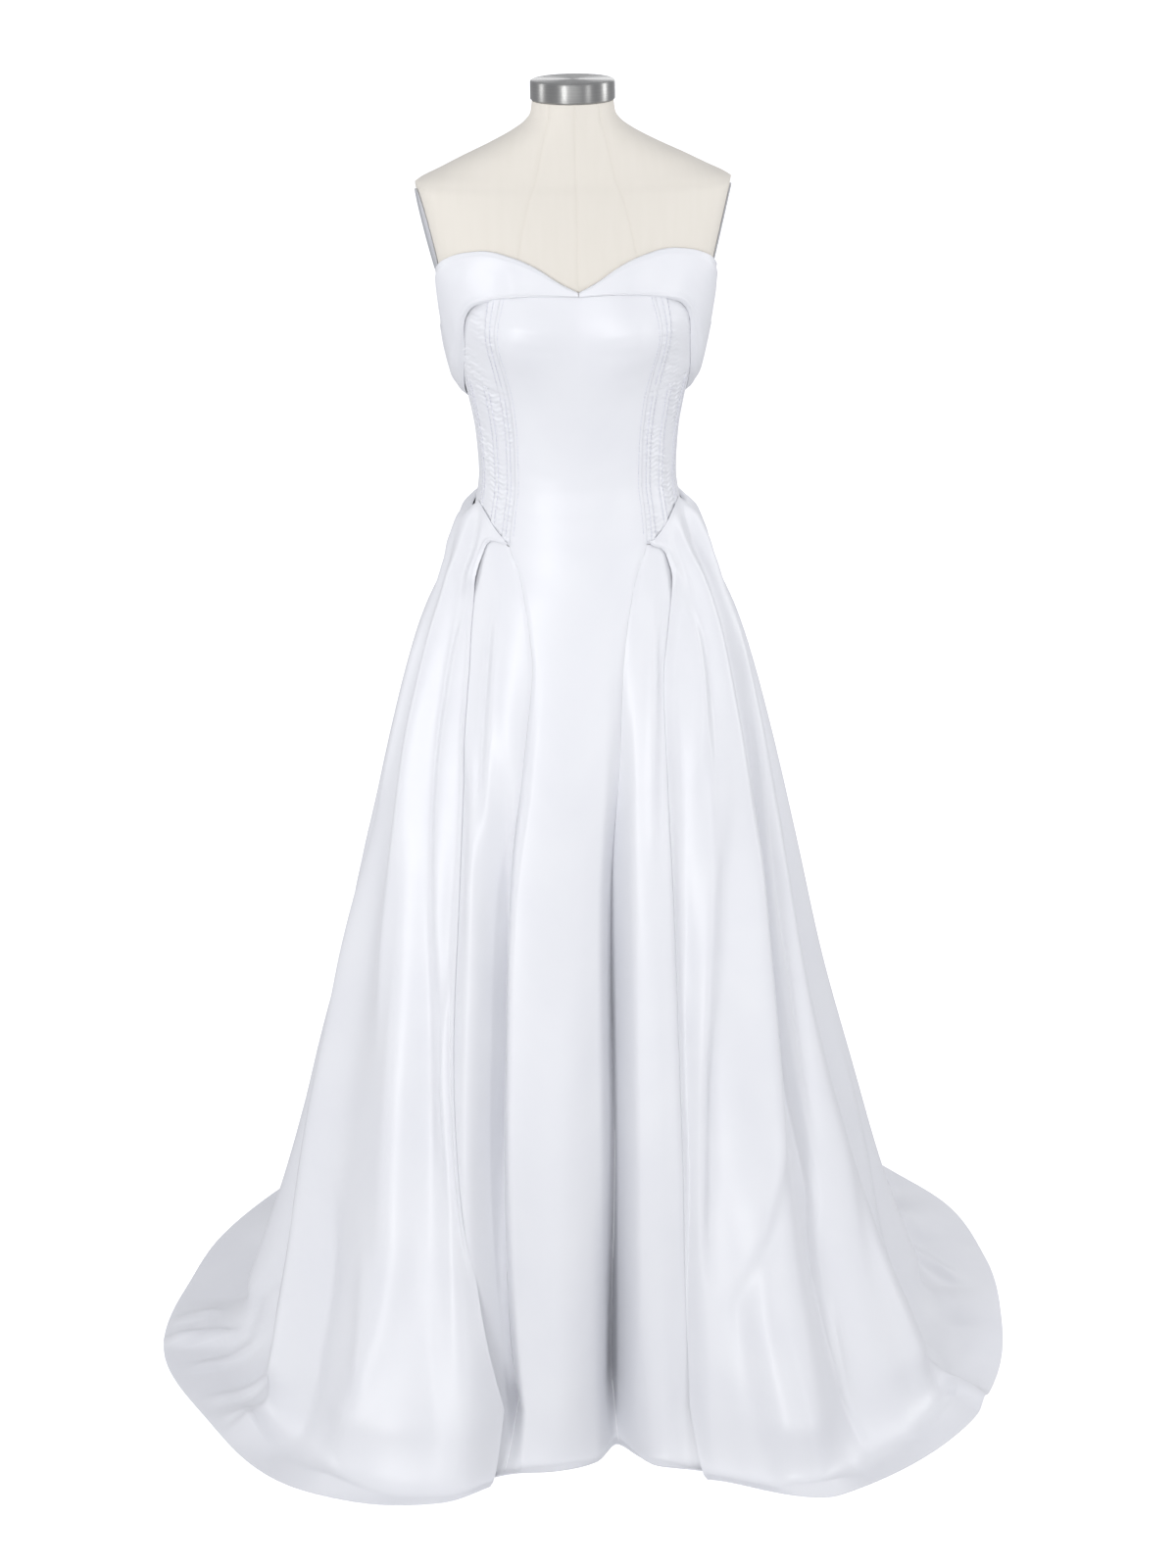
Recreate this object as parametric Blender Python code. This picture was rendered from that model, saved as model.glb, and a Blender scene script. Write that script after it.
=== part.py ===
"""Strapless wedding gown on a limbless dress form.

Metres, +Z up. The origin is the centre of the stand base's underside, on the floor.
The gown's front faces -Y. Angles run round the vertical axis in degrees: 0 is the
centre front and positive turns towards +X. Left and right are those of the front view.
"""

import math
from typing import NamedTuple

import bmesh
import bpy
import numpy as np

# Cloth and gaps
CLOTH = 0.002
SEAM_GAP = 0.0004
BODY_CLEARANCE = 0.0019
BODICE_OUT = BODY_CLEARANCE + CLOTH
LAYER_GAP = 0.0012
OVER_GAP = 0.0027
RIB_HEIGHT = 0.0012

# Form, cap and stand
FORM_BOTTOM = 0.800
FORM_TOP = 1.5565
CAP_RADIUS = 0.0487
CAP_TOP = 1.580
FIT_GAP = 0.0003
PLATE_THICK = 0.003
PLATE_HALF_HEIGHT = 0.053
PLATE_HALF_DEPTH = 0.041
PLATE_CENTRE = 1.404
PLATE_TURN = math.tan(math.radians(6.0))
POLE_RADIUS = 0.0175
BASE_RADIUS = 0.165
BASE_HEIGHT = 0.014

# Bust of the form
BUST_OUT = 0.017
BUST_ANGLE = 33.0
BUST_SPREAD = 19.0
BUST_HEIGHT = 1.300
BUST_RISE = 0.046

# Heights where the columns of the fold tables hold
HIP = 1.000
KNEE = 0.470
CORNER = 1.056
OVER_LIFT = 0.012


class Ring(NamedTuple):
    """One horizontal section of the form."""

    height: float
    half_width: float
    front: float
    back: float
    squareness: float


FORM = (
    Ring(0.800, 0.138, 0.102, 0.118, 2.1),
    Ring(0.850, 0.147, 0.108, 0.127, 2.1),
    Ring(0.900, 0.151, 0.112, 0.131, 2.1),
    Ring(0.950, 0.150, 0.113, 0.129, 2.1),
    Ring(1.000, 0.141, 0.110, 0.118, 2.1),
    Ring(1.050, 0.128, 0.104, 0.101, 2.1),
    Ring(1.090, 0.117, 0.096, 0.088, 2.2),
    Ring(1.123, 0.113, 0.090, 0.083, 2.2),
    Ring(1.168, 0.1155, 0.091, 0.086, 2.2),
    Ring(1.215, 0.1235, 0.096, 0.092, 2.2),
    Ring(1.260, 0.135, 0.103, 0.099, 2.2),
    Ring(1.300, 0.1445, 0.106, 0.104, 2.3),
    Ring(1.346, 0.158, 0.100, 0.106, 2.4),
    Ring(1.400, 0.179, 0.088, 0.102, 2.4),
    Ring(1.457, 0.192, 0.068, 0.088, 2.4),
    Ring(1.468, 0.180, 0.062, 0.082, 2.4),
    Ring(1.480, 0.156, 0.058, 0.076, 2.3),
    Ring(1.493, 0.130, 0.055, 0.070, 2.2),
    Ring(1.508, 0.098, 0.052, 0.063, 2.1),
    Ring(1.523, 0.070, 0.050, 0.056, 2.0),
    Ring(1.533, 0.056, 0.049, 0.051, 2.0),
    Ring(1.543, 0.0490, 0.048, 0.048, 2.0),
    Ring(1.5565, 0.047, 0.047, 0.047, 2.0),
)


class Fall(NamedTuple):
    """Distance of the plain skirt from the axis at one height, at five angles."""

    height: float
    at_0: float
    at_35: float
    at_90: float
    at_135: float
    at_180: float


SKIRT = (
    Fall(0.000, 0.378, 0.462, 0.424, 0.464, 0.560),
    Fall(0.100, 0.352, 0.412, 0.387, 0.432, 0.510),
    Fall(0.200, 0.325, 0.368, 0.352, 0.400, 0.465),
    Fall(0.350, 0.285, 0.322, 0.311, 0.353, 0.405),
    Fall(0.500, 0.246, 0.280, 0.272, 0.310, 0.350),
    Fall(0.650, 0.208, 0.238, 0.241, 0.268, 0.297),
    Fall(0.800, 0.170, 0.196, 0.208, 0.226, 0.240),
    Fall(0.900, 0.143, 0.163, 0.183, 0.194, 0.196),
    Fall(0.950, 0.131, 0.148, 0.168, 0.175, 0.172),
    Fall(1.000, 0.121, 0.134, 0.153, 0.154, 0.147),
    Fall(1.050, 0.1135, 0.123, 0.141, 0.134, 0.126),
)


class Hem(NamedTuple):
    """Distance of the hem from the axis at one angle, and how much of it lies flat."""

    angle: float
    radius: float
    flat: float


HEM_UNDER = (
    Hem(-40.0, 0.490, 0.012),
    Hem(-32.0, 0.475, 0.012),
    Hem(-24.0, 0.450, 0.012),
    Hem(-19.0, 0.420, 0.013),
    Hem(-14.6, 0.400, 0.014),
    Hem(-7.8, 0.389, 0.014),
    Hem(-0.9, 0.366, 0.014),
    Hem(3.6, 0.326, 0.012),
    Hem(9.6, 0.384, 0.014),
    Hem(14.7, 0.403, 0.014),
    Hem(18.5, 0.421, 0.013),
    Hem(23.5, 0.449, 0.012),
    Hem(30.0, 0.477, 0.012),
    Hem(40.0, 0.492, 0.012),
)

HEM_OVER = (
    Hem(-180.0, 0.780, 0.230),
    Hem(-174.0, 0.777, 0.228),
    Hem(-160.0, 0.722, 0.196),
    Hem(-136.4, 0.590, 0.135),
    Hem(-118.4, 0.556, 0.122),
    Hem(-102.7, 0.538, 0.112),
    Hem(-85.2, 0.544, 0.118),
    Hem(-64.7, 0.530, 0.090),
    Hem(-44.6, 0.545, 0.070),
    Hem(-33.8, 0.530, 0.045),
    Hem(-22.6, 0.487, 0.028),
    Hem(-14.8, 0.420, 0.018),
    Hem(15.5, 0.432, 0.018),
    Hem(31.0, 0.537, 0.040),
    Hem(57.2, 0.541, 0.070),
    Hem(65.6, 0.535, 0.082),
    Hem(84.0, 0.530, 0.104),
    Hem(104.6, 0.552, 0.120),
    Hem(122.3, 0.592, 0.140),
    Hem(131.9, 0.606, 0.145),
    Hem(160.0, 0.724, 0.196),
    Hem(174.0, 0.777, 0.228),
    Hem(180.0, 0.780, 0.230),
)


class EdgeLine(NamedTuple):
    """Where long seams and free edges lie at one height, as angles."""

    height: float
    seam_left: float
    seam_right: float
    edge_left: float
    edge_right: float
    tuck_left: float
    tuck_right: float


LINES = (
    EdgeLine(0.000, -15.0, 3.6, -14.8, 15.5, -24.0, 23.5),
    EdgeLine(0.150, -19.0, 5.0, -21.0, 17.5, -32.0, 27.0),
    EdgeLine(0.300, -22.0, 6.2, -28.0, 19.0, -39.0, 30.0),
    EdgeLine(0.470, -24.7, 7.5, -35.0, 21.5, -46.0, 33.0),
    EdgeLine(0.660, -27.0, 9.8, -41.0, 25.5, -52.0, 38.0),
    EdgeLine(0.790, -24.6, 13.6, -46.5, 29.0, -58.0, 43.0),
    EdgeLine(0.908, -23.8, 18.2, -54.0, 36.0, -65.0, 50.0),
    EdgeLine(0.960, -27.0, 22.0, -58.5, 43.0, -69.0, 56.0),
    EdgeLine(1.000, -31.8, 27.2, -60.8, 49.5, -71.5, 62.0),
    EdgeLine(1.018, -35.5, 31.3, -61.2, 51.5, -72.5, 65.0),
    EdgeLine(1.030, -38.5, 34.5, -60.2, 51.3, -73.0, 66.0),
    EdgeLine(1.038, -41.0, 37.0, -57.4, 49.5, -73.5, 67.0),
    EdgeLine(1.045, -43.0, 39.2, -52.5, 46.5, -74.0, 68.0),
    EdgeLine(1.056, -44.8, 41.2, -45.0, 41.4, -74.0, 68.0),
    EdgeLine(1.123, -45.0, 43.0, -45.0, 43.0, -74.0, 70.0),
    EdgeLine(1.203, -44.0, 43.0, -44.0, 43.0, -74.0, 70.0),
    EdgeLine(1.400, -42.0, 41.5, -42.0, 41.5, -74.0, 70.0),
)


class Fold(NamedTuple):
    """A ridge or trough line: its angle at three heights and how far it stands out."""

    hip: float
    knee: float
    hem: float
    out_hip: float
    out_knee: float
    out_hem: float


# Between the free front edge and the centre back; the edge itself is in LINES.
FOLDS_LEFT = (
    Fold(-65.0, -37.8, -18.0, 0.003, 0.004, 0.001),
    Fold(-70.0, -42.0, -23.0, -0.001, -0.008, -0.008),
    Fold(-77.0, -50.0, -36.0, 0.009, 0.016, 0.018),
    Fold(-84.5, -66.0, -46.0, 0.001, 0.004, 0.007),
    Fold(-91.0, -79.0, -55.5, 0.006, 0.014, 0.026),
    Fold(-98.0, -90.0, -69.0, -0.006, -0.017, -0.023),
    Fold(-107.0, -104.0, -87.0, 0.006, 0.016, 0.024),
    Fold(-115.0, -118.0, -107.0, -0.006, -0.019, -0.022),
    Fold(-124.0, -132.0, -127.0, 0.008, 0.018, 0.026),
    Fold(-134.0, -144.0, -143.0, -0.006, -0.020, -0.020),
    Fold(-146.0, -156.0, -157.0, 0.008, 0.019, 0.024),
    Fold(-161.0, -168.0, -169.0, -0.005, -0.016, -0.014),
    Fold(-179.9, -179.95, -179.97, 0.003, 0.006, 0.006),
)

FOLDS_RIGHT = (
    Fold(54.0, 25.5, 17.5, 0.003, 0.006, 0.001),
    Fold(59.0, 30.5, 21.5, 0.001, -0.005, -0.006),
    Fold(66.0, 42.5, 28.0, 0.010, 0.015, 0.024),
    Fold(75.0, 51.5, 40.0, -0.002, -0.009, -0.016),
    Fold(84.0, 61.0, 57.0, 0.010, 0.014, 0.026),
    Fold(91.0, 77.0, 75.5, -0.004, -0.014, -0.022),
    Fold(98.0, 90.0, 90.0, 0.007, 0.013, 0.016),
    Fold(108.0, 104.0, 105.0, -0.006, -0.017, -0.020),
    Fold(118.0, 118.0, 120.0, 0.008, 0.018, 0.024),
    Fold(129.0, 132.0, 135.0, -0.006, -0.020, -0.020),
    Fold(142.0, 147.0, 150.0, 0.008, 0.019, 0.024),
    Fold(158.0, 163.0, 165.0, -0.005, -0.018, -0.016),
    Fold(179.9, 179.95, 179.97, 0.003, 0.006, 0.006),
)


class Across(NamedTuple):
    """A line part of the way across a panel and how far it stands out going down."""

    part: float
    out_hip: float
    out_knee: float
    out_hem: float


CENTRE_ACROSS = (
    Across(0.00, 0.000, -0.026, -0.028),
    Across(0.14, 0.000, 0.001, 0.004),
    Across(0.50, 0.001, 0.004, 0.005),
    Across(0.82, 0.000, 0.004, 0.008),
    Across(1.00, 0.000, -0.044, -0.048),
)

GORE_LEFT_ACROSS = (
    Across(0.00, 0.000, -0.026, -0.028),
    Across(0.28, 0.001, 0.008, 0.004),
    Across(0.52, -0.001, -0.005, -0.006),
    Across(1.00, -0.004, -0.015, -0.011),
)

GORE_RIGHT_ACROSS = (
    Across(0.00, 0.000, -0.044, -0.048),
    Across(0.16, 0.000, 0.002, 0.004),
    Across(0.34, 0.001, 0.005, 0.006),
    Across(0.62, -0.001, -0.006, -0.006),
    Across(1.00, -0.003, -0.014, -0.011),
)


class CuffLine(NamedTuple):
    """Top and bottom of the turned-down cuff at one angle, and how far it stands off."""

    angle: float
    top: float
    bottom: float
    stand: float
    edge: float


CUFF = (
    CuffLine(0.0, 1.3530, 1.3490, 0.00, 0.000),
    CuffLine(12.0, 1.3640, 1.3495, 0.00, 0.000),
    CuffLine(26.0, 1.3800, 1.3495, 0.00, 0.000),
    CuffLine(40.0, 1.3920, 1.3465, 0.05, 0.000),
    CuffLine(53.0, 1.3985, 1.3380, 0.25, 0.003),
    CuffLine(60.0, 1.3960, 1.3210, 0.50, 0.007),
    CuffLine(68.0, 1.3870, 1.2790, 0.80, 0.012),
    CuffLine(78.0, 1.3620, 1.2440, 1.00, 0.012),
    CuffLine(88.0, 1.3320, 1.2230, 1.00, 0.008),
    CuffLine(98.0, 1.3220, 1.2100, 1.00, 0.001),
    CuffLine(115.0, 1.3120, 1.2000, 0.90, 0.001),
    CuffLine(140.0, 1.3020, 1.1940, 0.80, 0.001),
    CuffLine(180.0, 1.2960, 1.1900, 0.70, 0.001),
)

CUFF_OUT = BODICE_OUT + LAYER_GAP + CLOTH
CUFF_FOLD_DEEP = 0.0050
CUFF_DOWN = (0.0, 0.30, 0.55, 0.80, 1.0)
CUFF_HUMP = (0.0010, 0.0070, 0.0095, 0.0098)


class TopLine(NamedTuple):
    """Top seam of the overskirt at one angle and how strongly its edge rolls out."""

    angle: float
    height: float
    roll: float


OVER_TOP = (
    TopLine(45.0, 1.0565, 0.00),
    TopLine(54.0, 1.0690, 0.00),
    TopLine(66.0, 1.0860, 0.10),
    TopLine(76.0, 1.0940, 0.45),
    TopLine(88.0, 1.0800, 0.90),
    TopLine(100.0, 1.0840, 1.00),
    TopLine(112.0, 1.0920, 1.00),
    TopLine(126.0, 1.1000, 1.00),
    TopLine(150.0, 1.1040, 0.80),
    TopLine(180.0, 1.1030, 0.60),
)

ROLL_UP = (0.0, 0.006, 0.010, 0.009, 0.004, 0.000)
ROLL_OUT = (0.0, 0.0030, 0.0090, 0.0155, 0.0160, 0.0070)

# Rows of the grids, from the hip down, then the bend onto the floor and the lying part
OVER_LEVELS = (1.056, 1.051, 1.045, 1.037, 1.026, 1.008, 0.985, 0.955, 0.915, 0.865)
OVER_LEVELS += (0.805, 0.735, 0.660, 0.575, 0.485, 0.395, 0.305, 0.215, 0.135, 0.070)
OVER_FADE = (1.0, 1.0, 0.97, 0.88, 0.62, 0.30, 0.10)
UNDER_LEVELS = (1.052, 1.032, 1.010, 0.985, 0.950, 0.910, 0.860, 0.800, 0.730, 0.655)
UNDER_LEVELS += (0.570, 0.480, 0.390, 0.300, 0.210, 0.130, 0.065)
BEND_STEPS = (0.35, 0.70, 1.00)
LYING_STEPS_OVER = (0.36, 0.70, 1.00)
LYING_STEPS_UNDER = (1.00,)
CUP_ROWS = 7
WAIST_ROWS = 8
BACK_ROWS = 11
SIDE_SEAM = 80.0
CUP_SEAM_FRONT = 1.2330
CUP_SEAM_SIDE = 1.2480
RIBS_CUP = ((0.07, 0.15),)
RIBS_SIDE = ((0.07, 0.15), (0.34, 0.43), (0.74, 0.83))
SIDE_PARTS = (0.0, 0.058, 0.07, 0.15, 0.162, 0.245, 0.328, 0.34, 0.43, 0.442)
SIDE_PARTS += (0.535, 0.63, 0.728, 0.74, 0.83, 0.842, 0.92, 1.0)


def column(rows, name):
    """The values of one named column of a table."""
    return [getattr(row, name) for row in rows]


def through(knots, values, at, level_ends=False):
    """Value at a place on the smooth curve through the knots that never overshoots.

    The values may be arrays, one for each knot, of the shape of the places.
    """
    at = np.asarray(at, float)
    knots = np.asarray(knots, float)
    stack = np.stack([np.broadcast_to(np.asarray(v, float), at.shape) for v in values])
    step = np.diff(knots).reshape((-1,) + (1,) * at.ndim)
    slope = np.diff(stack, axis=0) / step
    tangent = np.zeros_like(stack)
    before, after = slope[:-1], slope[1:]
    near = 2 * step[1:] + step[:-1]
    far = step[1:] + 2 * step[:-1]
    same = before * after > 0
    safe_before = np.where(same, before, 1.0)
    safe_after = np.where(same, after, 1.0)
    mean = (near + far) / (near / safe_before + far / safe_after)
    tangent[1:-1] = np.where(same, mean, 0.0)
    if not level_ends:
        tangent[0] = slope[0]
        tangent[-1] = slope[-1]
    at = np.clip(at, knots[0], knots[-1])
    spot = np.clip(np.searchsorted(knots, at, side="right") - 1, 0, len(knots) - 2)
    low = np.take_along_axis(stack, spot[None], 0)[0]
    high = np.take_along_axis(stack, spot[None] + 1, 0)[0]
    leave = np.take_along_axis(tangent, spot[None], 0)[0]
    arrive = np.take_along_axis(tangent, spot[None] + 1, 0)[0]
    span = np.diff(knots)[spot]
    t = (at - knots[spot]) / span
    bend = (2 * t**3 - 3 * t**2 + 1) * low + (3 * t**2 - 2 * t**3) * high
    return bend + span * ((t**3 - 2 * t**2 + t) * leave + (t**3 - t**2) * arrive)


def table(rows, name, at, key="height"):
    """A named column of a table at a height or an angle."""
    return through(column(rows, key), column(rows, name), at)


def ease(low, high, at):
    """0 below low, 1 above high and smooth between."""
    t = np.clip((np.asarray(at, float) - low) / (high - low), 0.0, 1.0)
    return t * t * (3 - 2 * t)


def wrapped(angle):
    """The same direction between -180 and 180 degrees."""
    return (np.asarray(angle, float) + 180.0) % 360.0 - 180.0


def plate_plane(height):
    """Distance of the arm plates' outer faces from the middle at a height."""
    return 0.1578 + (height - 1.346) * 0.2297


def form_radius(angle, height):
    """Distance of the form's surface from the axis."""
    angle, height = np.broadcast_arrays(wrapped(angle), np.asarray(height, float))
    turn = np.radians(angle)
    side = np.abs(np.sin(turn))
    ahead = np.cos(turn)
    wide = table(FORM, "half_width", height)
    front = table(FORM, "front", height)
    back = table(FORM, "back", height)
    square = table(FORM, "squareness", height)
    deep = np.where(ahead >= 0, front, back)
    radius = ((side / wide) ** square + (np.abs(ahead) / deep) ** square) ** (-1 / square)
    off = (np.abs(angle) - BUST_ANGLE) / BUST_SPREAD
    rise = (height - BUST_HEIGHT) / BUST_RISE
    radius = radius + BUST_OUT * np.exp(-(off**2) - rise**2)
    flat = plate_plane(height) - PLATE_THICK - FIT_GAP
    reach = flat / np.maximum(side + ahead * PLATE_TURN, 0.05)
    return np.where(height > 1.30, np.minimum(radius, reach), radius)


def skirt_radius(angle, height, hem):
    """Distance of the plain skirt from the axis, led to the foot of its hem below."""
    angle = wrapped(angle)
    around = np.abs(angle)
    cut = np.clip(height, 0.0, 1.05)
    at_angles = [table(SKIRT, f"at_{a}", cut) for a in (0, 35, 90, 135, 180)]
    plain = through((0, 35, 90, 135, 180), at_angles, around, level_ends=True)
    at_foot = [row * np.ones_like(around) for row in SKIRT[0][1:]]
    foot_plain = through((0, 35, 90, 135, 180), at_foot, around, level_ends=True)
    foot = table(hem, "radius", angle, "angle") - table(hem, "flat", angle, "angle")
    plain = plain + (foot - foot_plain) * (1 - ease(0.0, 0.42, height))
    body = form_radius(angle, np.maximum(height, 0.98)) + BODICE_OUT
    return body + (plain - body) * (1 - ease(0.985, 1.050, height))


def bodice_point(angle, height, out):
    """Point off the form's surface by a distance."""
    radius = form_radius(angle, height) + out
    turn = np.radians(angle)
    return np.stack([radius * np.sin(turn), -radius * np.cos(turn), height], axis=-1)


def placed(angle, radius, height):
    """Points from angles, distances from the axis and heights."""
    turn = np.radians(angle)
    return np.stack([radius * np.sin(turn), -radius * np.cos(turn), height], axis=-1)


def normals(points):
    """Unit normals of a grid whose rows run down and whose columns run to +angle."""
    down = np.gradient(points, axis=0)
    across = np.gradient(points, axis=1)
    normal = np.cross(down, across)
    return normal / np.linalg.norm(normal, axis=-1, keepdims=True)


def inside_of(points, thick=CLOTH):
    """The grid moved inwards by the cloth's thickness and kept above the floor.

    At both side edges it moves straight towards the axis, so that neighbours never cross.
    """
    normal = normals(points)
    for edge in (0, -1):
        turn = np.arctan2(points[:, edge, 0], -points[:, edge, 1])
        along = np.stack([np.cos(turn), np.sin(turn), np.zeros_like(turn)], axis=-1)
        part = (normal[:, edge] * along).sum(axis=-1, keepdims=True)
        flat = normal[:, edge] - part * along
        normal[:, edge] = flat / np.linalg.norm(flat, axis=-1, keepdims=True)
    inner = points - normal * thick
    inner[..., 2] = np.maximum(inner[..., 2], 0.0)
    return inner


def material(name, colour, rough, metal=0.0):
    """A plain material of one colour."""
    made = bpy.data.materials.new(name)
    made.use_nodes = True
    shader = made.node_tree.nodes["Principled BSDF"]
    shader.inputs["Base Color"].default_value = (*colour, 1.0)
    shader.inputs["Roughness"].default_value = rough
    shader.inputs["Metallic"].default_value = metal
    return made


def finished(name, mesh, finish):
    """The bmesh made an object with its faces turned out and its own material."""
    bmesh.ops.recalc_face_normals(mesh, faces=mesh.faces)
    data = bpy.data.meshes.new(name)
    mesh.to_mesh(data)
    mesh.free()
    data.materials.append(material(f"{name}_finish", *finish))
    made = bpy.data.objects.new(name, data)
    bpy.context.scene.collection.objects.link(made)
    return made


def wall(name, outer, inner, finish):
    """A closed cloth wall between two grids of the same size."""
    mesh = bmesh.new()
    rows, columns = outer.shape[:2]
    sides = []
    for grid in (outer, inner):
        sides.append([[mesh.verts.new(p) for p in line] for line in grid])
    for side in sides:
        for r in range(rows - 1):
            for c in range(columns - 1):
                mesh.faces.new((side[r][c], side[r][c + 1], side[r + 1][c + 1], side[r + 1][c]))
    top, low = sides
    rim = [(0, c) for c in range(columns)]
    rim += [(r, columns - 1) for r in range(1, rows)]
    rim += [(rows - 1, c) for c in range(columns - 2, -1, -1)]
    rim += [(r, 0) for r in range(rows - 2, 0, -1)]
    for (r, c), (s, d) in zip(rim, rim[1:] + rim[:1]):
        mesh.faces.new((top[r][c], low[r][c], low[s][d], top[s][d]))
    return finished(name, mesh, finish)


def stacked(name, loops, finish):
    """A solid through closed loops of points, with a flat face on each end."""
    mesh = bmesh.new()
    rings = [[mesh.verts.new(p) for p in loop] for loop in loops]
    count = len(rings[0])
    for low, high in zip(rings, rings[1:]):
        for i in range(count):
            j = (i + 1) % count
            mesh.faces.new((low[i], low[j], high[j], high[i]))
    mesh.faces.new(rings[0])
    mesh.faces.new(rings[-1])
    return finished(name, mesh, finish)


def turned(name, profile, sides, finish):
    """A solid of revolution from rows of radius and height."""
    angles = np.arange(sides) * 360.0 / sides
    loops = [placed(angles, np.full(sides, r), np.full(sides, z)) for r, z in profile]
    return stacked(name, loops, finish)


def bodice_top(angle):
    """Height of the bodice's top edge, just under the fold of the cuff."""
    around = np.abs(wrapped(angle))
    return table(CUFF, "top", around, "angle") - 0.0100 + 0.0060 * (1 - ease(0, 9, around))


def bodice_bottom(angle):
    """Height of the seam where the bodice ends and the skirt begins at the sides."""
    around = np.abs(wrapped(angle))
    return table(OVER_TOP, "height", around, "angle") - 0.0040


def skirt_rows(angles, levels, outs, hem, lift, lying_steps):
    """Grid points of a hanging panel.

    Args:
        angles: Angle of each grid point at the falling rows; the last row goes on below.
        levels: Heights of the falling rows, one for each row of angles.
        outs: How far each point of the falling rows stands out from the plain skirt.
        hem: Table of the hem this panel ends on.
        lift: How far the whole layer lies outside the plain skirt, by row.
        lying_steps: Parts of the way from the bend to the hem.
    """
    fall = skirt_radius(angles, levels, hem) + outs + lift
    body = form_radius(angles, np.maximum(levels, FORM_BOTTOM)) + BODICE_OUT
    body = body + np.minimum(lift, CLOTH + OVER_GAP)
    fall = np.where(levels > FORM_BOTTOM - 0.03, np.maximum(fall, body), fall)
    points = [placed(angles, fall, levels)]
    last_angle = table_free_end(angles)
    last_out = outs[-1]
    radius = table(hem, "radius", wrapped(last_angle), "angle")
    flat = table(hem, "flat", wrapped(last_angle), "angle")
    start_r = fall[-1]
    start_z = levels[-1]
    corner_r = np.minimum(radius - flat + 0.25 * last_out, radius - 0.006)
    land_r = np.minimum(corner_r + 0.055, radius - 0.004)
    land_r = np.minimum(land_r, corner_r + 0.5 * (radius - corner_r))
    ridge = np.maximum(last_out, 0.0)
    ground = CLOTH + 0.0002
    land_z = ground + ridge * 0.55
    for t in BEND_STEPS:
        r = (1 - t) ** 2 * start_r + 2 * t * (1 - t) * corner_r + t**2 * land_r
        z = (1 - t) ** 2 * start_z + 2 * t * (1 - t) * (ground + 0.3 * ridge) + t**2 * land_z
        points.append(placed(last_angle, r, np.broadcast_to(z, r.shape))[None])
    for t in lying_steps:
        r = land_r + (radius - land_r) * t
        z = ground + ridge * 0.55 * (1 - t) ** 1.2
        points.append(placed(last_angle, r, z)[None])
    return np.concatenate(points, axis=0)


def table_free_end(angles):
    """The angles that the lying rows keep: those of the last falling row."""
    return angles[-1]


def fall_outs(lines, levels):
    """How far each line stands out at each falling row."""
    knots = (0.0, KNEE, HIP, 1.05)
    rows = []
    for line in lines:
        steps = (line.out_hem, line.out_knee, line.out_hip, 0.0)
        rows.append(through(knots, steps, levels))
    return rows


def centre_panel():
    """The one long front panel from bust to hem."""
    parts = np.array([0, 0.07, 0.14, 0.22, 0.31, 0.40, 0.50, 0.60, 0.69, 0.77, 0.84, 0.90, 0.95, 1])
    grid = bodice_grid(parts, "seam_left", "seam_right")
    under = under_grid(parts, "seam_left", "seam_right", CENTRE_ACROSS, 0)
    return np.concatenate([grid[:-1], under], axis=0)


def bodice_grid(parts, left, right):
    """Bodice points between two lines that change with height, down to the hip corner."""
    cup = np.linspace(0.0, 1.0, CUP_ROWS)[:, None]
    waist = np.linspace(0.0, 1.0, WAIST_ROWS)[1:, None]
    height = np.linspace(1.37, UNDER_LEVELS[0], CUP_ROWS + WAIST_ROWS - 1)[:, None]
    height = height * np.ones((1, len(parts)))
    for _ in range(4):
        low = table(LINES, left, height)
        high = table(LINES, right, height)
        angle = low + (high - low) * parts[None]
        above = bodice_top(angle[:CUP_ROWS]) * (1 - cup) + CUP_SEAM_FRONT * cup
        below = CUP_SEAM_FRONT * (1 - waist) + UNDER_LEVELS[0] * waist
        height = np.concatenate([above, below * np.ones((1, len(parts)))])
    angle = trimmed(angle, form_radius(angle, height))
    return bodice_point(angle, height, BODICE_OUT)


def trimmed(angle, radius):
    """Angles moved in at both side edges of a panel by half the seam gap."""
    half = np.degrees(SEAM_GAP / 2 / radius)
    inward = np.zeros(angle.shape[1])
    inward[0] = np.sign(angle[0, -1] - angle[0, 0])
    inward[-1] = -inward[0]
    return angle + half * inward[None]


def under_grid(parts, left, right, across, raised_rows):
    """Points of the centre panel or a gore, from the hip seam to the hem."""
    levels = np.array(UNDER_LEVELS)[:, None] * np.ones((1, len(parts)))
    low = table(LINES, left, levels)
    high = table(LINES, right, levels)
    angle = low + (high - low) * parts[None]
    if raised_rows:
        fade = np.clip(1 - np.arange(len(UNDER_LEVELS)) / raised_rows, 0, 1)[:, None]
        rise = bodice_bottom(angle) - 0.0007 - levels[0:1]
        levels = levels + rise * fade * ease(0.0, 0.08, np.abs(parts))[None]
    outs = through(column(across, "part"), fall_outs(across, levels), parts * np.ones_like(levels))
    angle = trimmed(angle, skirt_radius(angle, levels, HEM_UNDER))
    return skirt_rows(angle, levels, outs, HEM_UNDER, 0.0, LYING_STEPS_UNDER)


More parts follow.
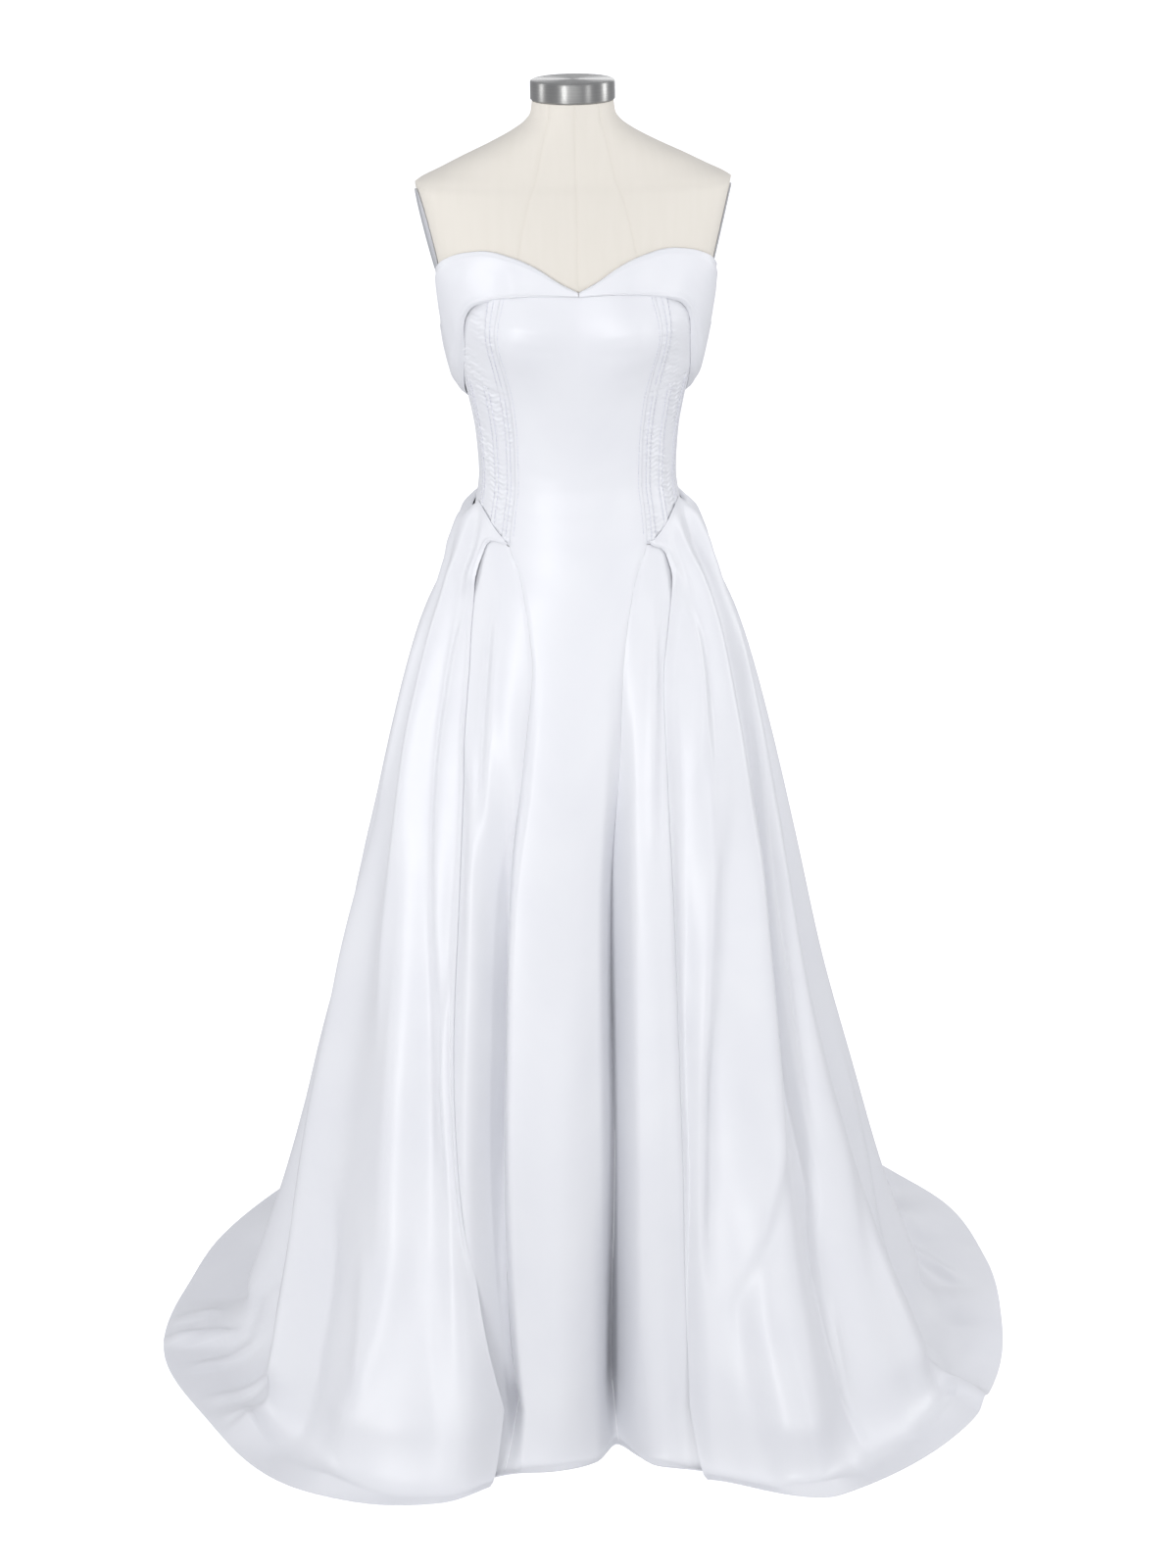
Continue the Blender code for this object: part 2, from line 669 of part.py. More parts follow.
def side_panel(sign, top, bottom, ribs, rows):
    """A bodice piece between the princess seam and the side seam.

    Args:
        sign: -1 for the left piece, 1 for the right one.
        top: Height of its top edge by angle.
        bottom: Height of its bottom edge by angle.
        ribs: Parts of the way across where a raised channel starts and ends.
        rows: How many rows of points it has.
    """
    parts = np.array(SIDE_PARTS)
    raised = np.zeros(len(parts))
    for start, end in ribs:
        raised[(parts >= start - 1e-6) & (parts <= end + 1e-6)] = RIB_HEIGHT
    name = "seam_left" if sign < 0 else "seam_right"
    down = np.linspace(0.0, 1.0, rows)[:, None]
    angle = sign * (44.0 + (SIDE_SEAM - 44.0) * parts[None]) * np.ones_like(down)
    for _ in range(4):
        height = top(angle) * (1 - down) + bottom(angle) * down
        seam = table(LINES, name, height)
        angle = seam + (sign * SIDE_SEAM - seam) * parts[None]
    angle = trimmed(angle, form_radius(angle, height))
    outer = bodice_point(angle, height, BODICE_OUT + raised[None])
    inner = bodice_point(angle, height, np.full_like(height, BODY_CLEARANCE))
    return outer, inner


def cup_seam(angle):
    """Height of the seam that divides the side front at the underbust."""
    around = np.abs(wrapped(angle))
    return CUP_SEAM_FRONT + (CUP_SEAM_SIDE - CUP_SEAM_FRONT) * ease(44, 80, around)


def cup_seam_above(angle):
    """The bottom edge of the piece above that seam."""
    return cup_seam(angle) + SEAM_GAP / 2


def cup_seam_below(angle):
    """The top edge of the piece below that seam."""
    return cup_seam(angle) - SEAM_GAP / 2


def back_panel(sign):
    """Half of the back of the bodice, from the side seam to the centre back."""
    parts = np.linspace(0.0, 1.0, 13)
    down = np.linspace(0.0, 1.0, BACK_ROWS)[:, None]
    angle = sign * (SIDE_SEAM + (180.0 - SIDE_SEAM) * parts[None]) * np.ones_like(down)
    height = bodice_top(angle) * (1 - down) + bodice_bottom(angle) * down
    angle = trimmed(angle, form_radius(angle, height))
    outer = bodice_point(angle, height, np.full_like(height, BODICE_OUT))
    inner = bodice_point(angle, height, np.full_like(height, BODY_CLEARANCE))
    return outer, inner


def cuff_panel(sign):
    """Half of the turned-down cuff, from the centre front to the centre back."""
    around = np.array([0.25, 3, 7, 12, 18, 25, 32, 39, 46, 52, 58, 64, 70, 77, 84, 91, 99])
    around = np.concatenate([around, [108, 117, 127, 137, 147, 158, 169, 179.8]])
    top = table(CUFF, "top", around, "angle")
    bottom = table(CUFF, "bottom", around, "angle")
    stand = table(CUFF, "stand", around, "angle")
    edge = table(CUFF, "edge", around, "angle")
    drop = top - bottom
    first = np.minimum(CUFF_FOLD_DEEP, 0.45 * drop)
    second = np.minimum(CUFF_FOLD_DEEP + 0.0012, 0.65 * drop)
    rows_z = [top, top - first, top - second]
    for t in (0.33, 0.52, 0.70, 0.86, 1.0):
        rows_z.append(top - second - (drop - second) * (t - 0.16) / 0.84)
    height = np.stack(rows_z)
    t = (top[None] - height) / drop[None]
    humps = [np.full_like(t, h) * stand[None] for h in CUFF_HUMP]
    humps.append(np.broadcast_to(edge[None], t.shape))
    outer_off = CUFF_OUT + through(CUFF_DOWN, humps, t)
    outer_off[0] -= 0.0015
    inner_off = outer_off - CLOTH
    inner_off[0] = BODY_CLEARANCE
    inner_off[1] = BODY_CLEARANCE
    angle = sign * around[None] * np.ones_like(height)
    outer = bodice_point(angle, height, outer_off)
    inner = bodice_point(angle, height, inner_off)
    inner[0, :, 2] -= 0.0008
    return outer, inner


def over_panel(sign):
    """Half of the overskirt: flap at the hip, rolled top, hanging folds and train."""
    folds = FOLDS_LEFT if sign < 0 else FOLDS_RIGHT
    edge_name = "edge_left" if sign < 0 else "edge_right"
    count = len(folds) + 1
    places = np.concatenate([[0.0, 0.35, 0.7], np.arange(2, 2 * count - 1) / 2.0])
    levels = np.array(OVER_LEVELS)[:, None] * np.ones((1, len(places)))
    heights = (0.0, KNEE, HIP)
    lines = [np.abs(table(LINES, edge_name, levels))]
    for fold in folds:
        lines.append(np.abs(through(heights, (fold.hem, fold.knee, fold.hip), levels)))
    spots = np.broadcast_to(places, levels.shape)
    around = through(range(count), lines, spots)
    edge = Fold(0, 0, 0, -0.0015, -0.0075, -0.0130)
    outs = through(range(count), fall_outs((edge,) + folds, levels), spots)
    fade = np.zeros(len(OVER_LEVELS))
    fade[: len(OVER_FADE)] = OVER_FADE
    rise = np.zeros(len(OVER_LEVELS))
    rise[: len(ROLL_UP)] = ROLL_UP
    reach = np.zeros(len(OVER_LEVELS))
    reach[: len(ROLL_OUT)] = ROLL_OUT
    top = table(OVER_TOP, "height", around, "angle")
    roll = table(OVER_TOP, "roll", around, "angle")
    levels = levels + (top - CORNER) * fade[:, None] + roll * rise[:, None]
    close = CLOTH + OVER_GAP
    lift = close + (OVER_LIFT - close) * (1 - ease(0.93, 1.05, levels))
    lift = lift + roll * reach[:, None]
    angle = sign * around
    grid = skirt_rows(angle, levels, outs, HEM_OVER, lift, LYING_STEPS_OVER)
    return grid if sign > 0 else grid[:, ::-1]


SATIN = ((0.86, 0.86, 0.89), 0.35)
LINEN = ((0.78, 0.75, 0.70), 0.8)
STEEL = ((0.55, 0.55, 0.54), 0.3, 1.0)
PLATE = ((0.62, 0.63, 0.65), 0.45)
STAND = ((0.70, 0.70, 0.71), 0.4)


def build_form():
    """The dress form, its neck cap, arm plates, pole and base."""
    heights = [0.8, 0.86, 0.92, 0.98, 1.03, 1.07, 1.1, 1.135, 1.18, 1.225, 1.265, 1.3, 1.335]
    heights += [1.37, 1.405, 1.44, 1.457, 1.468, 1.48, 1.493, 1.508, 1.523, 1.533, 1.543]
    heights += [FORM_TOP]
    loops = []
    step = np.radians(np.arange(44) * 360.0 / 44)
    for height in heights:
        wide = table(FORM, "half_width", height)
        deep = 0.5 * (table(FORM, "front", height) + table(FORM, "back", height))
        stretch = (wide / deep) ** 0.6
        angle = np.degrees(np.arctan2(np.sin(step) * stretch, np.cos(step)))
        loops.append(placed(angle, form_radius(angle, height), np.full(44, float(height))))
    foot = loops[0] * np.array([0.90, 0.90, 1.0]) - np.array([0, 0, 0.008])
    stacked("form_torso", [foot] + loops, LINEN)
    low = FORM_TOP + FIT_GAP
    cap = [(0.0468, low), (CAP_RADIUS, low + 0.0015), (CAP_RADIUS, CAP_TOP - 0.0024)]
    cap += [(CAP_RADIUS - 0.0008, CAP_TOP - 0.0008), (CAP_RADIUS - 0.0026, CAP_TOP)]
    turned("neck_cap", cap, 40, STEEL)
    for side, name in ((-1, "arm_plate_left"), (1, "arm_plate_right")):
        loops = []
        for depth, size in ((PLATE_THICK, 1.0), (0.0008, 1.0), (0.0, 0.965)):
            turn = np.radians(np.arange(28) * 360.0 / 28)
            y = 0.006 + PLATE_HALF_DEPTH * size * np.cos(turn)
            z = PLATE_CENTRE + PLATE_HALF_HEIGHT * size * np.sin(turn)
            x = plate_plane(z) - depth + y * PLATE_TURN
            loops.append(np.stack([side * x, y, z], axis=-1))
        stacked(name, loops, PLATE)
    top = FORM_BOTTOM - 0.008 - FIT_GAP
    turned("stand_pole", [(POLE_RADIUS, BASE_HEIGHT + FIT_GAP), (POLE_RADIUS, top)], 20, STAND)
    base = [(BASE_RADIUS, 0.0), (BASE_RADIUS, 0.006), (BASE_RADIUS - 0.006, 0.010)]
    base += [(0.030, BASE_HEIGHT)]
    turned("stand_base", base, 36, STAND)


def build_gown():
    """The pieces that are cut and sewn."""
    centre = centre_panel()
    wall("centre_front", centre, inside_of(centre), SATIN)
    for sign, side in ((-1, "left"), (1, "right")):
        outer, inner = side_panel(sign, bodice_top, cup_seam_above, RIBS_CUP, CUP_ROWS)
        wall(f"side_cup_{side}", outer, inner, SATIN)
        outer, inner = side_panel(sign, cup_seam_below, bodice_bottom, RIBS_SIDE, WAIST_ROWS)
        wall(f"side_front_{side}", outer, inner, SATIN)
        outer, inner = back_panel(sign)
        wall(f"back_{side}", outer, inner, SATIN)
        outer, inner = cuff_panel(sign)
        wall(f"cuff_{side}", outer, inner, SATIN)
        across = np.array([0, 0.08, 0.17, 0.28, 0.40, 0.55, 0.75, 1.0])
        if sign < 0:
            gore = under_grid(across, "seam_left", "tuck_left", GORE_LEFT_ACROSS, 4)
            gore = gore[:, ::-1]
        else:
            gore = under_grid(across, "seam_right", "tuck_right", GORE_RIGHT_ACROSS, 4)
        wall(f"front_gore_{side}", gore, inside_of(gore), SATIN)
        over = over_panel(sign)
        wall(f"overskirt_{side}", over, inside_of(over), SATIN)
    angle = np.array([176.6, 178.3, 180.0, 181.7, 183.4])[None] * np.ones((6, 1))
    height = np.linspace(1.1860, 1.1120, 6)[:, None] * np.ones((1, 5))
    inner = bodice_point(angle, height, np.full_like(height, BODICE_OUT + 0.0008))
    outer = bodice_point(angle, height, np.full_like(height, BODICE_OUT + 0.0021))
    wall("back_placket", outer, inner, SATIN)


def main():
    """Empties the scene and builds the form and the gown."""
    for old in list(bpy.data.objects):
        bpy.data.objects.remove(old)
    build_form()
    build_gown()


main()
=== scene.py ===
"""White satin wedding gown on a dress form: its drape, stitching, finishes and light.

Metres, +Z up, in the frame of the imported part. The gown's front faces -Y. Angles run
round the vertical axis in degrees: 0 is the centre front, positive towards +X. Left
and right are those of the front view. The tables are the part's own, and the cloth
here is a finer shell on the same form, with creases and stitching added.
"""

from __future__ import annotations

import logging  # noqa: E402
import math  # noqa: E402
from dataclasses import dataclass, field  # noqa: E402
from enum import Enum  # noqa: E402
from functools import partial  # noqa: E402
from typing import Any, Callable, NamedTuple, Sequence  # noqa: E402

import bmesh  # noqa: E402
import bpy  # noqa: E402
import numpy as np  # noqa: E402
from mathutils import Matrix, Vector  # noqa: E402


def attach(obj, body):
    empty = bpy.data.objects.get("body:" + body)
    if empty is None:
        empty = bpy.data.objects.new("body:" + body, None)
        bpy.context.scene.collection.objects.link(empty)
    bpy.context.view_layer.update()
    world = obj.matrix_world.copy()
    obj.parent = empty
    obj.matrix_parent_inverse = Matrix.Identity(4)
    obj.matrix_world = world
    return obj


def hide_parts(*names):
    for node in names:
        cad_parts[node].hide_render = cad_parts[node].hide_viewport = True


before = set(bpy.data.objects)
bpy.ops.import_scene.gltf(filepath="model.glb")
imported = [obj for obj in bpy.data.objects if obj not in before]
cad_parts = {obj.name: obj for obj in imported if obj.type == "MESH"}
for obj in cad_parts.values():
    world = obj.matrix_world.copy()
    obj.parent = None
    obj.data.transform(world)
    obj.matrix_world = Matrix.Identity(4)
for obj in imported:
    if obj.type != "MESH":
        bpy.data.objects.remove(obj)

log = logging.getLogger("gown")

# Cloth and gaps
CLOTH = 0.002
SEAM_GAP = 0.00016
BODY_CLEARANCE = 0.0019
BODICE_OUT = BODY_CLEARANCE + CLOTH
LAYER_GAP = 0.0012
OVER_GAP = 0.0027
RIB_HEIGHT = 0.0012
SHELL = 0.0016
OVER_SHELL = 0.0009

# Form, cap and stand
FORM_BOTTOM = 0.800
FORM_TOP = 1.5565
CAP_RADIUS = 0.0487
CAP_TOP = 1.580
FIT_GAP = 0.0003
PLATE_THICK = 0.003
PLATE_HALF_HEIGHT = 0.053
PLATE_HALF_DEPTH = 0.041
PLATE_CENTRE = 1.404
PLATE_TURN = math.tan(math.radians(6.0))
PLATE_OUT = 0.1578
PLATE_LEVEL = 1.346
PLATE_LEAN = 0.2297
POLE_RADIUS = 0.0175
BASE_RADIUS = 0.165
BASE_HEIGHT = 0.014

# Bust of the form
BUST_OUT = 0.017
BUST_ANGLE = 33.0
BUST_SPREAD = 19.0
BUST_HEIGHT = 1.300
BUST_RISE = 0.046

# Heights where the columns of the fold tables hold
HIP = 1.000
KNEE = 0.470
CORNER = 1.056
OVER_LIFT = 0.012
SKIRT_TOP = 1.050
SKIRT_ANGLES = (0, 35, 90, 135, 180)

# Rounds in which a panel's angles and heights settle on each other
SETTLE = 5


def rows_of(kind: type, *rows: tuple) -> tuple:
    """A table: each row of values as one of a kind."""
    return tuple(kind(*row) for row in rows)


class Ring(NamedTuple):
    """One horizontal section of the form."""

    height: float
    half_width: float
    front: float
    back: float
    squareness: float


FORM = rows_of(
    Ring,
    (0.8, 0.138, 0.102, 0.118, 2.1),
    (0.85, 0.147, 0.108, 0.127, 2.1),
    (0.9, 0.151, 0.112, 0.131, 2.1),
    (0.95, 0.15, 0.113, 0.129, 2.1),
    (1, 0.141, 0.11, 0.118, 2.1),
    (1.05, 0.128, 0.104, 0.101, 2.1),
    (1.09, 0.117, 0.096, 0.088, 2.2),
    (1.123, 0.113, 0.09, 0.083, 2.2),
    (1.168, 0.1155, 0.091, 0.086, 2.2),
    (1.215, 0.1235, 0.096, 0.092, 2.2),
    (1.26, 0.135, 0.103, 0.099, 2.2),
    (1.3, 0.1445, 0.106, 0.104, 2.3),
    (1.346, 0.158, 0.1, 0.106, 2.4),
    (1.4, 0.179, 0.088, 0.102, 2.4),
    (1.457, 0.192, 0.068, 0.088, 2.4),
    (1.468, 0.18, 0.062, 0.082, 2.4),
    (1.48, 0.156, 0.058, 0.076, 2.3),
    (1.493, 0.13, 0.055, 0.07, 2.2),
    (1.508, 0.098, 0.052, 0.063, 2.1),
    (1.523, 0.07, 0.05, 0.056, 2),
    (1.533, 0.056, 0.049, 0.051, 2),
    (1.543, 0.049, 0.048, 0.048, 2),
    (1.5565, 0.047, 0.047, 0.047, 2),
)


class Fall(NamedTuple):
    """Distance of the plain skirt from the axis at one height, at five angles."""

    height: float
    at_0: float
    at_35: float
    at_90: float
    at_135: float
    at_180: float


SKIRT = rows_of(
    Fall,
    (0, 0.378, 0.462, 0.424, 0.464, 0.56),
    (0.1, 0.352, 0.412, 0.387, 0.432, 0.51),
    (0.2, 0.325, 0.368, 0.352, 0.4, 0.465),
    (0.35, 0.285, 0.322, 0.311, 0.353, 0.405),
    (0.5, 0.246, 0.28, 0.272, 0.31, 0.35),
    (0.65, 0.208, 0.238, 0.241, 0.268, 0.297),
    (0.8, 0.17, 0.196, 0.208, 0.226, 0.24),
    (0.9, 0.143, 0.163, 0.183, 0.194, 0.196),
    (0.95, 0.131, 0.148, 0.168, 0.175, 0.172),
    (1, 0.121, 0.134, 0.153, 0.154, 0.147),
    (1.05, 0.1135, 0.123, 0.141, 0.134, 0.126),
)


class Hem(NamedTuple):
    """Distance of the hem from the axis at one angle, and how much of it lies flat."""

    angle: float
    radius: float
    flat: float


HEM_UNDER = rows_of(
    Hem,
    (-40, 0.49, 0.012),
    (-32, 0.475, 0.012),
    (-24, 0.45, 0.012),
    (-19, 0.42, 0.013),
    (-14.6, 0.4, 0.014),
    (-7.8, 0.389, 0.014),
    (-0.9, 0.366, 0.014),
    (3.6, 0.326, 0.012),
    (9.6, 0.384, 0.014),
    (14.7, 0.403, 0.014),
    (18.5, 0.421, 0.013),
    (23.5, 0.449, 0.012),
    (30, 0.477, 0.012),
    (40, 0.492, 0.012),
)

HEM_OVER = rows_of(
    Hem,
    (-180, 0.78, 0.23),
    (-174, 0.777, 0.228),
    (-160, 0.722, 0.196),
    (-136.4, 0.59, 0.135),
    (-118.4, 0.556, 0.122),
    (-102.7, 0.538, 0.112),
    (-85.2, 0.544, 0.118),
    (-64.7, 0.53, 0.09),
    (-44.6, 0.545, 0.07),
    (-33.8, 0.53, 0.045),
    (-22.6, 0.487, 0.028),
    (-14.8, 0.42, 0.018),
    (15.5, 0.432, 0.018),
    (31, 0.537, 0.04),
    (57.2, 0.541, 0.07),
    (65.6, 0.535, 0.082),
    (84, 0.53, 0.104),
    (104.6, 0.552, 0.12),
    (122.3, 0.592, 0.14),
    (131.9, 0.606, 0.145),
    (160, 0.724, 0.196),
    (174, 0.777, 0.228),
    (180, 0.78, 0.23),
)


class EdgeLine(NamedTuple):
    """Where long seams and free edges lie at one height, as angles."""

    height: float
    seam_left: float
    seam_right: float
    edge_left: float
    edge_right: float
    tuck_left: float
    tuck_right: float


LINES = rows_of(
    EdgeLine,
    (0, -15, 3.6, -14.8, 15.5, -24, 23.5),
    (0.15, -19, 5, -21, 17.5, -32, 27),
    (0.3, -22, 6.2, -28, 19, -39, 30),
    (0.47, -24.7, 7.5, -35, 21.5, -46, 33),
    (0.66, -27, 9.8, -41, 25.5, -52, 38),
    (0.79, -24.6, 13.6, -46.5, 29, -58, 43),
    (0.908, -23.8, 18.2, -54, 36, -65, 50),
    (0.96, -27, 22, -58.5, 43, -69, 56),
    (1, -31.8, 27.2, -60.8, 49.5, -71.5, 62),
    (1.018, -35.5, 31.3, -61.2, 51.5, -72.5, 65),
    (1.03, -38.5, 34.5, -60.2, 51.3, -73, 66),
    (1.038, -41, 37, -57.4, 49.5, -73.5, 67),
    (1.045, -43, 39.2, -52.5, 46.5, -74, 68),
    (1.056, -44.8, 41.2, -45, 41.4, -74, 68),
    (1.123, -45, 43, -45, 43, -74, 70),
    (1.203, -44, 43, -44, 43, -74, 70),
    (1.4, -42, 41.5, -42, 41.5, -74, 70),
)


class Fold(NamedTuple):
    """A ridge or trough line: its angle at three heights and how far it stands out."""

    hip: float
    knee: float
    hem: float
    out_hip: float
    out_knee: float
    out_hem: float


# Between the free front edge and the centre back; the edge itself is in LINES.
FOLDS_LEFT = rows_of(
    Fold,
    (-65, -37.8, -18, 0.003, 0.004, 0.001),
    (-70, -42, -23, -0.001, -0.008, -0.008),
    (-77, -50, -36, 0.009, 0.016, 0.018),
    (-84.5, -66, -46, 0.001, 0.004, 0.007),
    (-91, -79, -55.5, 0.006, 0.014, 0.026),
    (-98, -90, -69, -0.006, -0.017, -0.023),
    (-107, -104, -87, 0.006, 0.016, 0.024),
    (-115, -118, -107, -0.006, -0.019, -0.022),
    (-124, -132, -127, 0.008, 0.018, 0.026),
    (-134, -144, -143, -0.006, -0.02, -0.02),
    (-146, -156, -157, 0.008, 0.019, 0.024),
    (-161, -168, -169, -0.005, -0.016, -0.014),
    (-179.9, -179.95, -179.97, 0.003, 0.006, 0.006),
)

FOLDS_RIGHT = rows_of(
    Fold,
    (54, 25.5, 17.5, 0.003, 0.006, 0.001),
    (59, 30.5, 21.5, 0.001, -0.005, -0.006),
    (66, 42.5, 28, 0.01, 0.015, 0.024),
    (75, 51.5, 40, -0.002, -0.009, -0.016),
    (84, 61, 57, 0.01, 0.014, 0.026),
    (91, 77, 75.5, -0.004, -0.014, -0.022),
    (98, 90, 90, 0.007, 0.013, 0.016),
    (108, 104, 105, -0.006, -0.017, -0.02),
    (118, 118, 120, 0.008, 0.018, 0.024),
    (129, 132, 135, -0.006, -0.02, -0.02),
    (142, 147, 150, 0.008, 0.019, 0.024),
    (158, 163, 165, -0.005, -0.018, -0.016),
    (179.9, 179.95, 179.97, 0.003, 0.006, 0.006),
)

# The free front edge, which lies close to the cloth under it
FREE_EDGE = Fold(0, 0, 0, -0.0015, -0.0075, -0.0130)


class Across(NamedTuple):
    """A line part of the way across a panel and how far it stands out going down."""

    part: float
    out_hip: float
    out_knee: float
    out_hem: float


CENTRE_ACROSS = rows_of(
    Across,
    (0, 0, -0.026, -0.028),
    (0.14, 0, 0.001, 0.004),
    (0.5, 0.001, 0.004, 0.005),
    (0.82, 0, 0.004, 0.008),
    (1, 0, -0.044, -0.048),
)

GORE_LEFT_ACROSS = rows_of(
    Across,
    (0, 0, -0.026, -0.028),
    (0.28, 0.001, 0.008, 0.004),
    (0.52, -0.001, -0.005, -0.006),
    (1, -0.004, -0.015, -0.011),
)

GORE_RIGHT_ACROSS = rows_of(
    Across,
    (0, 0, -0.044, -0.048),
    (0.16, 0, 0.002, 0.004),
    (0.34, 0.001, 0.005, 0.006),
    (0.62, -0.001, -0.006, -0.006),
    (1, -0.003, -0.014, -0.011),
)


class CuffLine(NamedTuple):
    """Top and bottom of the turned-down cuff at one angle, and how far it stands off."""

    angle: float
    top: float
    bottom: float
    stand: float
    edge: float


CUFF = rows_of(
    CuffLine,
    (0, 1.353, 1.349, 0, 0),
    (12, 1.364, 1.3495, 0, 0),
    (26, 1.38, 1.3495, 0, 0),
    (40, 1.392, 1.3465, 0.05, 0),
    (53, 1.3985, 1.338, 0.25, 0.003),
    (60, 1.396, 1.321, 0.5, 0.007),
    (68, 1.387, 1.279, 0.8, 0.012),
    (78, 1.362, 1.244, 1, 0.012),
    (88, 1.332, 1.223, 1, 0.008),
    (98, 1.322, 1.21, 1, 0.001),
    (115, 1.312, 1.2, 0.9, 0.001),
    (140, 1.302, 1.194, 0.8, 0.001),
    (180, 1.296, 1.19, 0.7, 0.001),
)

GORES_ACROSS = {-1: GORE_LEFT_ACROSS, 1: GORE_RIGHT_ACROSS}

CUFF_OUT = BODICE_OUT + LAYER_GAP + CLOTH
CUFF_FOLD_DEEP = 0.0050
CUFF_DOWN = (0.0, 0.30, 0.55, 0.80, 1.0)
CUFF_HUMP = (0.0010, 0.0070, 0.0095, 0.0098)
# Soft upright folds of the cuff: angle at its lower edge, width in degrees, distance out
CUFF_FOLDS_LEFT = (
    (35, 4, 0.0011),
    (44, 4.5, -0.0015),
    (55, 5, 0.0024),
    (68, 5, -0.0012),
    (90, 9, 0.0016),
)
CUFF_FOLDS_RIGHT = (
    (28, 5, 0.0009),
    (40, 4.5, -0.0012),
    (52, 5, 0.0018),
    (64, 6, -0.001),
    (96, 9, 0.0016),
)


class TopLine(NamedTuple):
    """Top seam of the overskirt at one angle and how strongly its edge rolls out."""

    angle: float
    height: float
    roll: float


OVER_TOP = rows_of(
    TopLine,
    (45, 1.0565, 0),
    (54, 1.069, 0),
    (66, 1.086, 0.1),
    (76, 1.094, 0.45),
    (88, 1.08, 0.9),
    (100, 1.084, 1),
    (112, 1.092, 1),
    (126, 1.1, 1),
    (150, 1.104, 0.8),
    (180, 1.103, 0.6),
)

# How the overskirt's top edge rolls and how far down the slant of its top line reaches
ROLL_LEVELS = (1.008, 1.026, 1.037, 1.045, 1.051, 1.056)
ROLL_UP = (0.000, 0.004, 0.009, 0.010, 0.006, 0.000)
ROLL_OUT = (0.0070, 0.0160, 0.0155, 0.0090, 0.0030, 0.0000)
ROLL_END = 0.985
FADE_LEVELS = (0.955, 0.985, 1.008, 1.026, 1.037, 1.045, 1.051, 1.056)
FADE = (0.00, 0.10, 0.30, 0.62, 0.88, 0.97, 1.00, 1.00)
RAISE_LEVELS = (0.950, 0.985, 1.010, 1.032, 1.052)
RAISE = (0.00, 0.25, 0.50, 0.75, 1.00)

OVER_FOOT = 0.070
UNDER_TOP = 1.052
UNDER_FOOT = 0.065
SIDE_START = 44.0
SIDE_SEAM = 80.0
CUP_SEAM_FRONT = 1.2330
CUP_SEAM_SIDE = 1.2480
RIBS_CUP = ((0.07, 0.15),)
RIBS_SIDE = ((0.07, 0.15), (0.34, 0.43), (0.74, 0.83))
RIB_SLOPE = 0.012


class Crease(NamedTuple):
    """A soft ridge or trough laid between two places on the cloth."""

    angle: float
    height: float
    end_angle: float
    end_height: float
    out: float
    wide: float


class FoldLine(NamedTuple):
    """A long ridge or trough down the skirt, steeper on one side than on the other."""

    path: tuple[tuple[float, float], ...]
    out: float
    ahead: float
    behind: float


class Ruck(NamedTuple):
    """A soft ridge in cloth that lies on the floor, between two places on it."""

    x: float
    y: float
    end_x: float
    end_y: float
    rise: float
    wide: float


BODICE_CREASES = rows_of(
    Crease,
    (-38, 1.318, -14, 1.306, 0.0006, 0.005),
    (-36, 1.292, -10, 1.285, -0.0006, 0.006),
    (36, 1.312, 12, 1.3, 0.0006, 0.005),
    (38, 1.286, 9, 1.279, -0.0006, 0.006),
    (-40, 1.262, -20, 1.25, -0.0005, 0.006),
    (38, 1.258, 18, 1.248, -0.0005, 0.006),
    (-41, 1.14, -12, 1.128, -0.0005, 0.008),
    (38, 1.15, 8, 1.136, 0.0004, 0.008),
    (-120, 1.16, -168, 1.146, -0.0006, 0.008),
    (118, 1.168, 162, 1.15, -0.0006, 0.008),
    (-100, 1.205, -140, 1.19, 0.0005, 0.007),
    (104, 1.21, 146, 1.192, 0.0005, 0.007),
)

SKIRT_CREASES = rows_of(
    Crease,
    (-88, 0.96, -84, 0.7, 0.0028, 0.008),
    (87, 0.96, 70, 0.62, 0.003, 0.009),
    (-46, 0.25, -37, 0.09, 0.004, 0.014),
    (44, 0.17, 40, 0.06, 0.006, 0.01),
    (-128, 0.96, -138, 0.56, 0.0035, 0.012),
    (-152, 0.93, -150, 0.48, -0.004, 0.014),
    (-170, 0.9, -176, 0.42, 0.004, 0.014),
    (124, 0.94, 128, 0.54, -0.004, 0.012),
    (150, 0.95, 156, 0.5, 0.004, 0.013),
    (172, 0.9, 176, 0.45, -0.004, 0.014),
    (-104, 0.7, -99, 0.3, 0.004, 0.016),
    (112, 0.62, 108, 0.24, 0.0045, 0.018),
)

